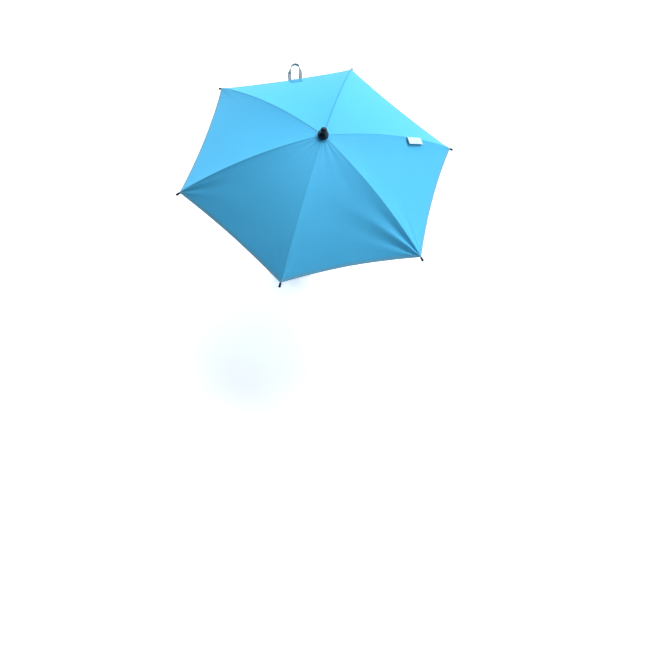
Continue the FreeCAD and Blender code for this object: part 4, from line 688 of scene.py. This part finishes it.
def make_loop():
    """Flat strap with its ends under the hem, on edge at its tip, and a clear film across it."""
    right = [(x, -y) for x, y in LOOP_LEG]
    path = curve_through(right + [(LOOP_TIP, 0)] + LOOP_LEG[::-1], LOOP_STEPS)
    x, y = path.T
    heading = np.gradient(path, axis=0)
    dx, dy = (heading / np.linalg.norm(heading, axis=1, keepdims=True)).T
    level = LOOP_HEIGHT - LOOP_UNDER + LOOP_SLOPE * (np.sqrt(x**2 + LOOP_BEND**2) - x)
    level = level + LOOP_CURL * np.maximum(x, 0)**2
    centre = np.stack([LOOP_OUT + x, LOOP_ASIDE + y + LOOP_SHIFT - LOOP_LEAN * x, level], -1)
    twist = math.pi / 2 * smooth(x, TWIST_FROM, TWIST_TO)[:, None]
    inward, upward = np.stack([-dy, dx, 0 * x], -1), np.array([[0, 0, 1.0]])
    thick = np.sin(twist) * inward - np.cos(twist) * upward
    wide = np.cos(twist) * inward + np.sin(twist) * upward
    rings = np.stack([centre + off * thick + up * wide for off, up in STRAP_SECTION], 1)
    shares = np.linspace(0, 1, FILM_COLUMNS)
    lines = ((-FILM_HALF_THICK, shares), (FILM_HALF_THICK, shares[::-1]))
    film = [centre[row] * (1 - t) + centre[-1 - row] * t + [0, 0, up]
            for row in FILM_ROWS for up, line in lines for t in line]
    corners = len(STRAP_SECTION)
    band = LOOP_STEPS * corners
    faces = ring_faces(LOOP_STEPS, corners)
    faces += ring_faces(len(FILM_ROWS), 2 * FILM_COLUMNS, start=band)
    points = np.concatenate([rings.reshape(-1, 3), film])
    strap = mesh_object("closure_strap", to_gore(*points.T), faces, clear_strap)
    # The tip is painted paler: painted light through the clear strap
    flat = np.repeat(1 - PALE_SHARE * smooth(x, PALE_FROM, LOOP_TIP), corners)
    set_values(strap, "side", np.concatenate([flat, np.zeros(len(film))]))
    set_values(strap, "film", np.concatenate([np.zeros(band), np.ones(len(film))]))
    strap.data.set_sharp_from_angle(angle=STRAP_SMOOTH)
    put(strap, f"rib_arm_{LOOP_GORE}", "clear_strap", "closure_loop")
    squash_with_rib(strap, LOOP_GORE)


def make_loop_tab():
    """Darker patch folded over the hem, that the strap's ends are sewn under."""
    along, back = np.linspace(-TAB_HALF, TAB_HALF, TAB_COLUMNS)[None], TAB_ROWS[:, None]
    y = LOOP_ASIDE + LOOP_SHIFT + TAB_SHIFT + along + 0 * back
    hem = hem_reach(LOOP_GORE, y)
    out = hem - back
    height = cloth_height(LOOP_GORE, np.minimum(out, hem - 0.8), y) + TAB_OVER_CLOTH
    height = height - TAB_EDGE_DROP * smooth(np.abs(along), TAB_HALF - 1.1, TAB_HALF)
    height = height - TAB_EDGE_DROP * smooth(back, TAB_DEPTH - 1, TAB_DEPTH)
    height = height - TAB_FOLD_DROP * (1 - smooth(back, -0.3, 1.4))
    points = to_gore(out, y, height)
    edge = np.minimum(TAB_HALF - np.abs(along), np.minimum(TAB_DEPTH - back, back + 3))
    facts = cloth_facts(y, out, hem=np.maximum(edge, 0), hem_run=y + out)
    tab = thin_sheet("loop_tab", points, grid_normals(points), TAB_THICK, facts, tab_cloth)
    put(tab, f"rib_arm_{LOOP_GORE}", "cloth")
    squash_with_rib(tab, LOOP_GORE)


# The label tag on the first rib's seam, with the turn and place of its solid
TAG_REACH, TAG_OFFSET, TAG_TURN = 233.7, 5.8, math.radians(8)
TAG_SLOPE = math.asin((TAG_REACH - CENTRE_OUT) / CLOTH_RADIUS)
TAG_LEAN = math.atan(math.sin(TAG_SLOPE) * TAN)
TAG_LIE = np.array(Matrix.Rotation(TAG_SLOPE, 3, "Y") @ Matrix.Rotation(TAG_LEAN, 3, "X"))
# Each sheet's ends and count of points along and across the tag, and its thickness
DARK_STRIP = ((-22.5, 22, 40), (-8.6, 8.8, 18), 0.5)
LABEL = ((-19, 23, 48), (-11, 8.6, 22), 0.3)
TAG_OVER_CLOTH, TAG_FALL, LABEL_OVER_TAPE = 0.65, 2.2, 0.55
# The label's loose side: lift, height of its ripples, and their length over two pi
LABEL_LIFT, LABEL_RIPPLE, RIPPLE_LENGTH = 0.8, 0.3, 5.2
LABEL_END_DROP, LABEL_STITCH_DENT = 0.5, 0.12


def on_tag(u, v):
    """Plan place of a point u along and v across the tag."""
    along = u * math.cos(TAG_TURN) - v * math.sin(TAG_TURN)
    across = u * math.sin(TAG_TURN) + v * math.cos(TAG_TURN) - TAG_OFFSET
    x, y = (TAG_LIE[axis, 0] * along + TAG_LIE[axis, 1] * across for axis in (0, 1))
    return TAG_REACH + x, y


def make_tag():
    """Bare satin label on a dark strip that shows past its end, sewn down along its upper edge."""
    # A dark strip shows past the label's lifted end
    for name, (along, across, thick), finish, replaced in (
            ("tag_dark_strip", DARK_STRIP, strip_finish, []), ("tag_label", LABEL, satin, ["label_tag"])):
        u, v = np.meshgrid(np.linspace(*along), np.linspace(*across), indexing="ij")
        x, y = on_tag(u, v)
        lie = cloth_top(x, y)
        bridge = lie.max(axis=1, keepdims=True) - TAG_FALL * smooth(-v, -6, 9)
        height = np.maximum(lie, bridge) + TAG_OVER_CLOTH
        if name == "tag_label":
            loose = smooth(-v, -5, 9)
            lift = LABEL_LIFT + LABEL_RIPPLE * np.sin(u / RIPPLE_LENGTH + 0.6)
            height = height + LABEL_OVER_TAPE + lift * loose
            height = height - LABEL_END_DROP * smooth(u, 21.5, 23)
            height = height - LABEL_STITCH_DENT * bump_at(v, 7.2, 0.4)
        points = np.stack([x, y, height], -1)
        sheet = thin_sheet(name, points, grid_normals(points), thick, cloth_facts(u, v), finish)
        put(sheet, "rib_arm_1", "label_cloth", *replaced)
        squash_with_rib(sheet, 1)


# Ties: their places along a rib, and the half width, middle, half height and lean of their wraps
TIE_REACHES, TIE_WRAPS = (62.0, 112.0, 215.0, 268.0, 312.0), (-0.75, 0, 0.75)
TIE_HALF_WIDTH, TIE_MIDDLE, TIE_HALF_HEIGHT, TIE_LEAN = 2.05, 0.135, 1.77, 0.25
TIE_STEPS, THREAD_SIDES, THREAD_RADIUS = 24, 6, 0.3
# One leaves a wrap round, and smaller figures make it squarer
TIE_ROUNDNESS = 0.35


def squared(value):
    """Sine or cosine pulled outwards, to make a circle nearly square."""
    return np.sign(value) * np.abs(value)**TIE_ROUNDNESS


def make_ties():
    """Loops of thread that hold each seam to its rib, seen from below."""
    angle = (np.arange(TIE_STEPS) * 2 * math.pi / TIE_STEPS)[:, None]
    spin = (np.arange(THREAD_SIDES) * 2 * math.pi / THREAD_SIDES)[None]
    bulge = THREAD_RADIUS * np.cos(spin)
    wide = TIE_HALF_WIDTH * squared(np.cos(angle)) + bulge * np.cos(angle)
    tall = TIE_MIDDLE + TIE_HALF_HEIGHT * squared(np.sin(angle)) + bulge * np.sin(angle)
    lean = THREAD_RADIUS * np.sin(spin) + TIE_LEAN * np.sin(angle)
    wraps, faces = [], []
    for reach in TIE_REACHES:
        slope = math.asin((reach - CENTRE_OUT) / RIB_RADIUS)
        base = CENTRE_UP + RIB_RADIUS * math.cos(slope)
        for wrap in TIE_WRAPS:
            start = len(wraps) * TIE_STEPS * THREAD_SIDES
            faces += ring_faces(TIE_STEPS, THREAD_SIDES, True, start)
            out = reach + (wrap + lean) * math.cos(slope) + tall * math.sin(slope)
            up = base - (wrap + lean) * math.sin(slope) + tall * math.cos(slope)
            wraps.append(np.stack([out, wide, up], -1).reshape(-1, 3))
    points = np.concatenate(wraps)
    for rib in RIBS:
        ties = mesh_object(f"rib_ties_{rib}", turned(*points.T, PITCH * (rib - 1)), faces, thread)
        put(ties, f"rib_arm_{rib}", "cloth")


# Clamp screw: radii and pitch of its thread, and its plain point with the chamfer on it
THREAD_MAJOR, THREAD_MINOR, SCREW_PITCH = 4.0, 3.42, 2.5
POINT_RADIUS, POINT_LENGTH, CHAMFER_DEPTH, CHAMFER_LENGTH = 3.0, 4.5, 0.4, 0.5
# Distance to either side of the step between point and thread at which there are rings
STEP_SIDE = 0.02
# Over a pitch the thread rises to flat crests, and its start tapers by this much a millimetre
CREST_TOP, CREST_SLOPE, THREAD_TAPER = 1.35, 3.375, 0.9
SCREW_RINGS, SCREW_SIDES, SCREW_AXIS_RADIUS = 200, 48, 0.01


def make_screw():
    """Clamp screw with its thread cut, a tapered start and a plain point."""
    low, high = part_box("clamp_screw")
    begin, end = -high[0] / MM, -low[0] / MM
    step = begin + POINT_LENGTH
    runs = np.concatenate([[begin, begin, begin + CHAMFER_LENGTH, step - STEP_SIDE, step],
                           np.linspace(step + STEP_SIDE, end, SCREW_RINGS), [end]])
    angle = np.arange(SCREW_SIDES) * 2 * math.pi / SCREW_SIDES
    rings = []
    for index, run in enumerate(runs):
        phase = (run / SCREW_PITCH - angle / (2 * math.pi)) % 1
        crest = np.clip(CREST_TOP - CREST_SLOPE * np.abs(phase - 0.5), 0, 1)
        taper = POINT_RADIUS + max(run - step, 0) * THREAD_TAPER
        radius = np.minimum(THREAD_MINOR + (THREAD_MAJOR - THREAD_MINOR) * crest, taper)
        if run <= step:
            radius = np.full(SCREW_SIDES, POINT_RADIUS - (CHAMFER_DEPTH if index == 1 else 0))
        if index in (0, len(runs) - 1):
            radius = np.full(SCREW_SIDES, SCREW_AXIS_RADIUS)
        ring = [np.full(SCREW_SIDES, -run), radius * np.sin(angle), radius * np.cos(angle)]
        rings.append(np.stack(ring, -1))
    faces = ring_faces(len(runs), SCREW_SIDES)
    screw = mesh_object("threaded_screw", np.concatenate(rings), faces, bright_steel)
    screw.data.set_sharp_from_angle(angle=SCREW_SMOOTH)
    put(screw, "screw", "bright_steel", "clamp_screw")


make_crown_disc()
make_loop()
make_loop_tab()
make_tag()
make_ties()
make_screw()


# Camera, as the photograph was taken: angles in degrees, focal length and frame in pixels
CAMERA_AZIMUTH, CAMERA_ELEVATION, CAMERA_ROLL = -21.9, 51.08, 11.05
CAMERA_DISTANCE, AIM_RIGHT, AIM_UP, TARGET_OVER_TIPS = 3.0, 0.0902, -0.4190, 70
FOCAL_PIXELS, FRAME_PIXELS, SENSOR = 1261.1, 665, 36


def set_camera():
    target = Vector((0, 0, float(rib_height(0) - CANOPY_RISE + TARGET_OVER_TIPS) * MM))
    azimuth, elevation = math.radians(CAMERA_AZIMUTH), math.radians(CAMERA_ELEVATION)
    roll = math.radians(CAMERA_ROLL)
    flat = math.cos(elevation)
    back = Vector((math.sin(azimuth) * flat, -math.cos(azimuth) * flat, math.sin(elevation)))
    right = Vector((math.cos(azimuth), math.sin(azimuth), 0))
    place = target + CAMERA_DISTANCE * back
    aim = target + AIM_RIGHT * right + AIM_UP * back.cross(right)
    away = (place - aim).normalized()
    level = Vector((0, 0, 1)).cross(away).normalized()
    upright = away.cross(level)
    side = math.cos(roll) * level + math.sin(roll) * upright
    top = -math.sin(roll) * level + math.cos(roll) * upright
    data = bpy.data.cameras.new("photo_camera")
    data.sensor_width = SENSOR
    data.lens = FOCAL_PIXELS / FRAME_PIXELS * SENSOR
    data.clip_end = 100
    camera = bpy.data.objects.new("photo_camera", data)
    bpy.context.scene.collection.objects.link(camera)
    rows = [[side[i], top[i], away[i], place[i]] for i in range(3)]
    camera.matrix_world = Matrix(rows + [[0, 0, 0, 1]])
    bpy.context.scene.camera = camera


# Floor and light

FLOOR_HALF, FLOOR_BELOW, FLOOR_GLOW = 9000, 0.3, 0.55
FLOOR_GREY, WHITE = (0.93, 0.93, 0.93), (1.0, 1.0, 1.0)
SKY, LAMP_COLOUR = (0.05, 0.08, 0.11), (1.0, 1.0, 1.02)
# Azimuth, elevation and strength of each lamp, and the angle it fills
LAMPS = {"key": (50, 47, 3.85, 60), "right": (330, 6, 1.2, 40), "left": (125, 6, 1.0, 40)}


def seen_by(tree, *rays):
    """One for the kinds of ray named, and nought for the others."""
    path = add_node(tree, "LightPath")
    seen = path.outputs[rays[0]]
    for ray in rays[1:]:
        seen = maths(tree, "MAXIMUM", seen, path.outputs[ray])
    return seen


def set_floor():
    material, tree, shader = new_material("pale_floor")
    seen = seen_by(tree, "Is Camera Ray", "Is Glossy Ray", "Is Transmission Ray")
    set_inputs(tree, shader, {"Base Color": (*FLOOR_GREY, 1), "Roughness": 0.9,
                              "Emission Color": (*WHITE, 1),
                              "Emission Strength": maths(tree, "MULTIPLY", seen, FLOOR_GLOW)})
    low, half = cad_bounds[0][2] / MM - FLOOR_BELOW, FLOOR_HALF
    corners = [(-half, -half, low), (half, -half, low), (half, half, low), (-half, half, low)]
    floor = mesh_object("floor", corners, [(0, 1, 2, 3)], material)


def set_light():
    scene = bpy.context.scene
    scene.world = bpy.data.worlds.new("studio")
    scene.world.use_nodes = True
    tree = scene.world.node_tree
    sky = blend_colour(tree, seen_by(tree, "Is Camera Ray", "Is Transmission Ray"), SKY, WHITE)
    tree.links.new(sky, tree.nodes["Background"].inputs["Color"])
    for name, (azimuth, elevation, strength, width) in LAMPS.items():
        lamp = bpy.data.lights.new(name, "SUN")
        lamp.energy, lamp.angle, lamp.color = strength, math.radians(width), LAMP_COLOUR
        turn, lift = math.radians(azimuth), math.radians(elevation)
        flat = math.cos(lift)
        way = Vector((math.cos(turn) * flat, math.sin(turn) * flat, math.sin(lift)))
        light = bpy.data.objects.new(name, lamp)
        light.rotation_euler = way.to_track_quat("Z", "Y").to_euler()
        scene.collection.objects.link(light)
    scene.view_settings.view_transform = "Standard"


set_camera()
set_floor()
set_light()
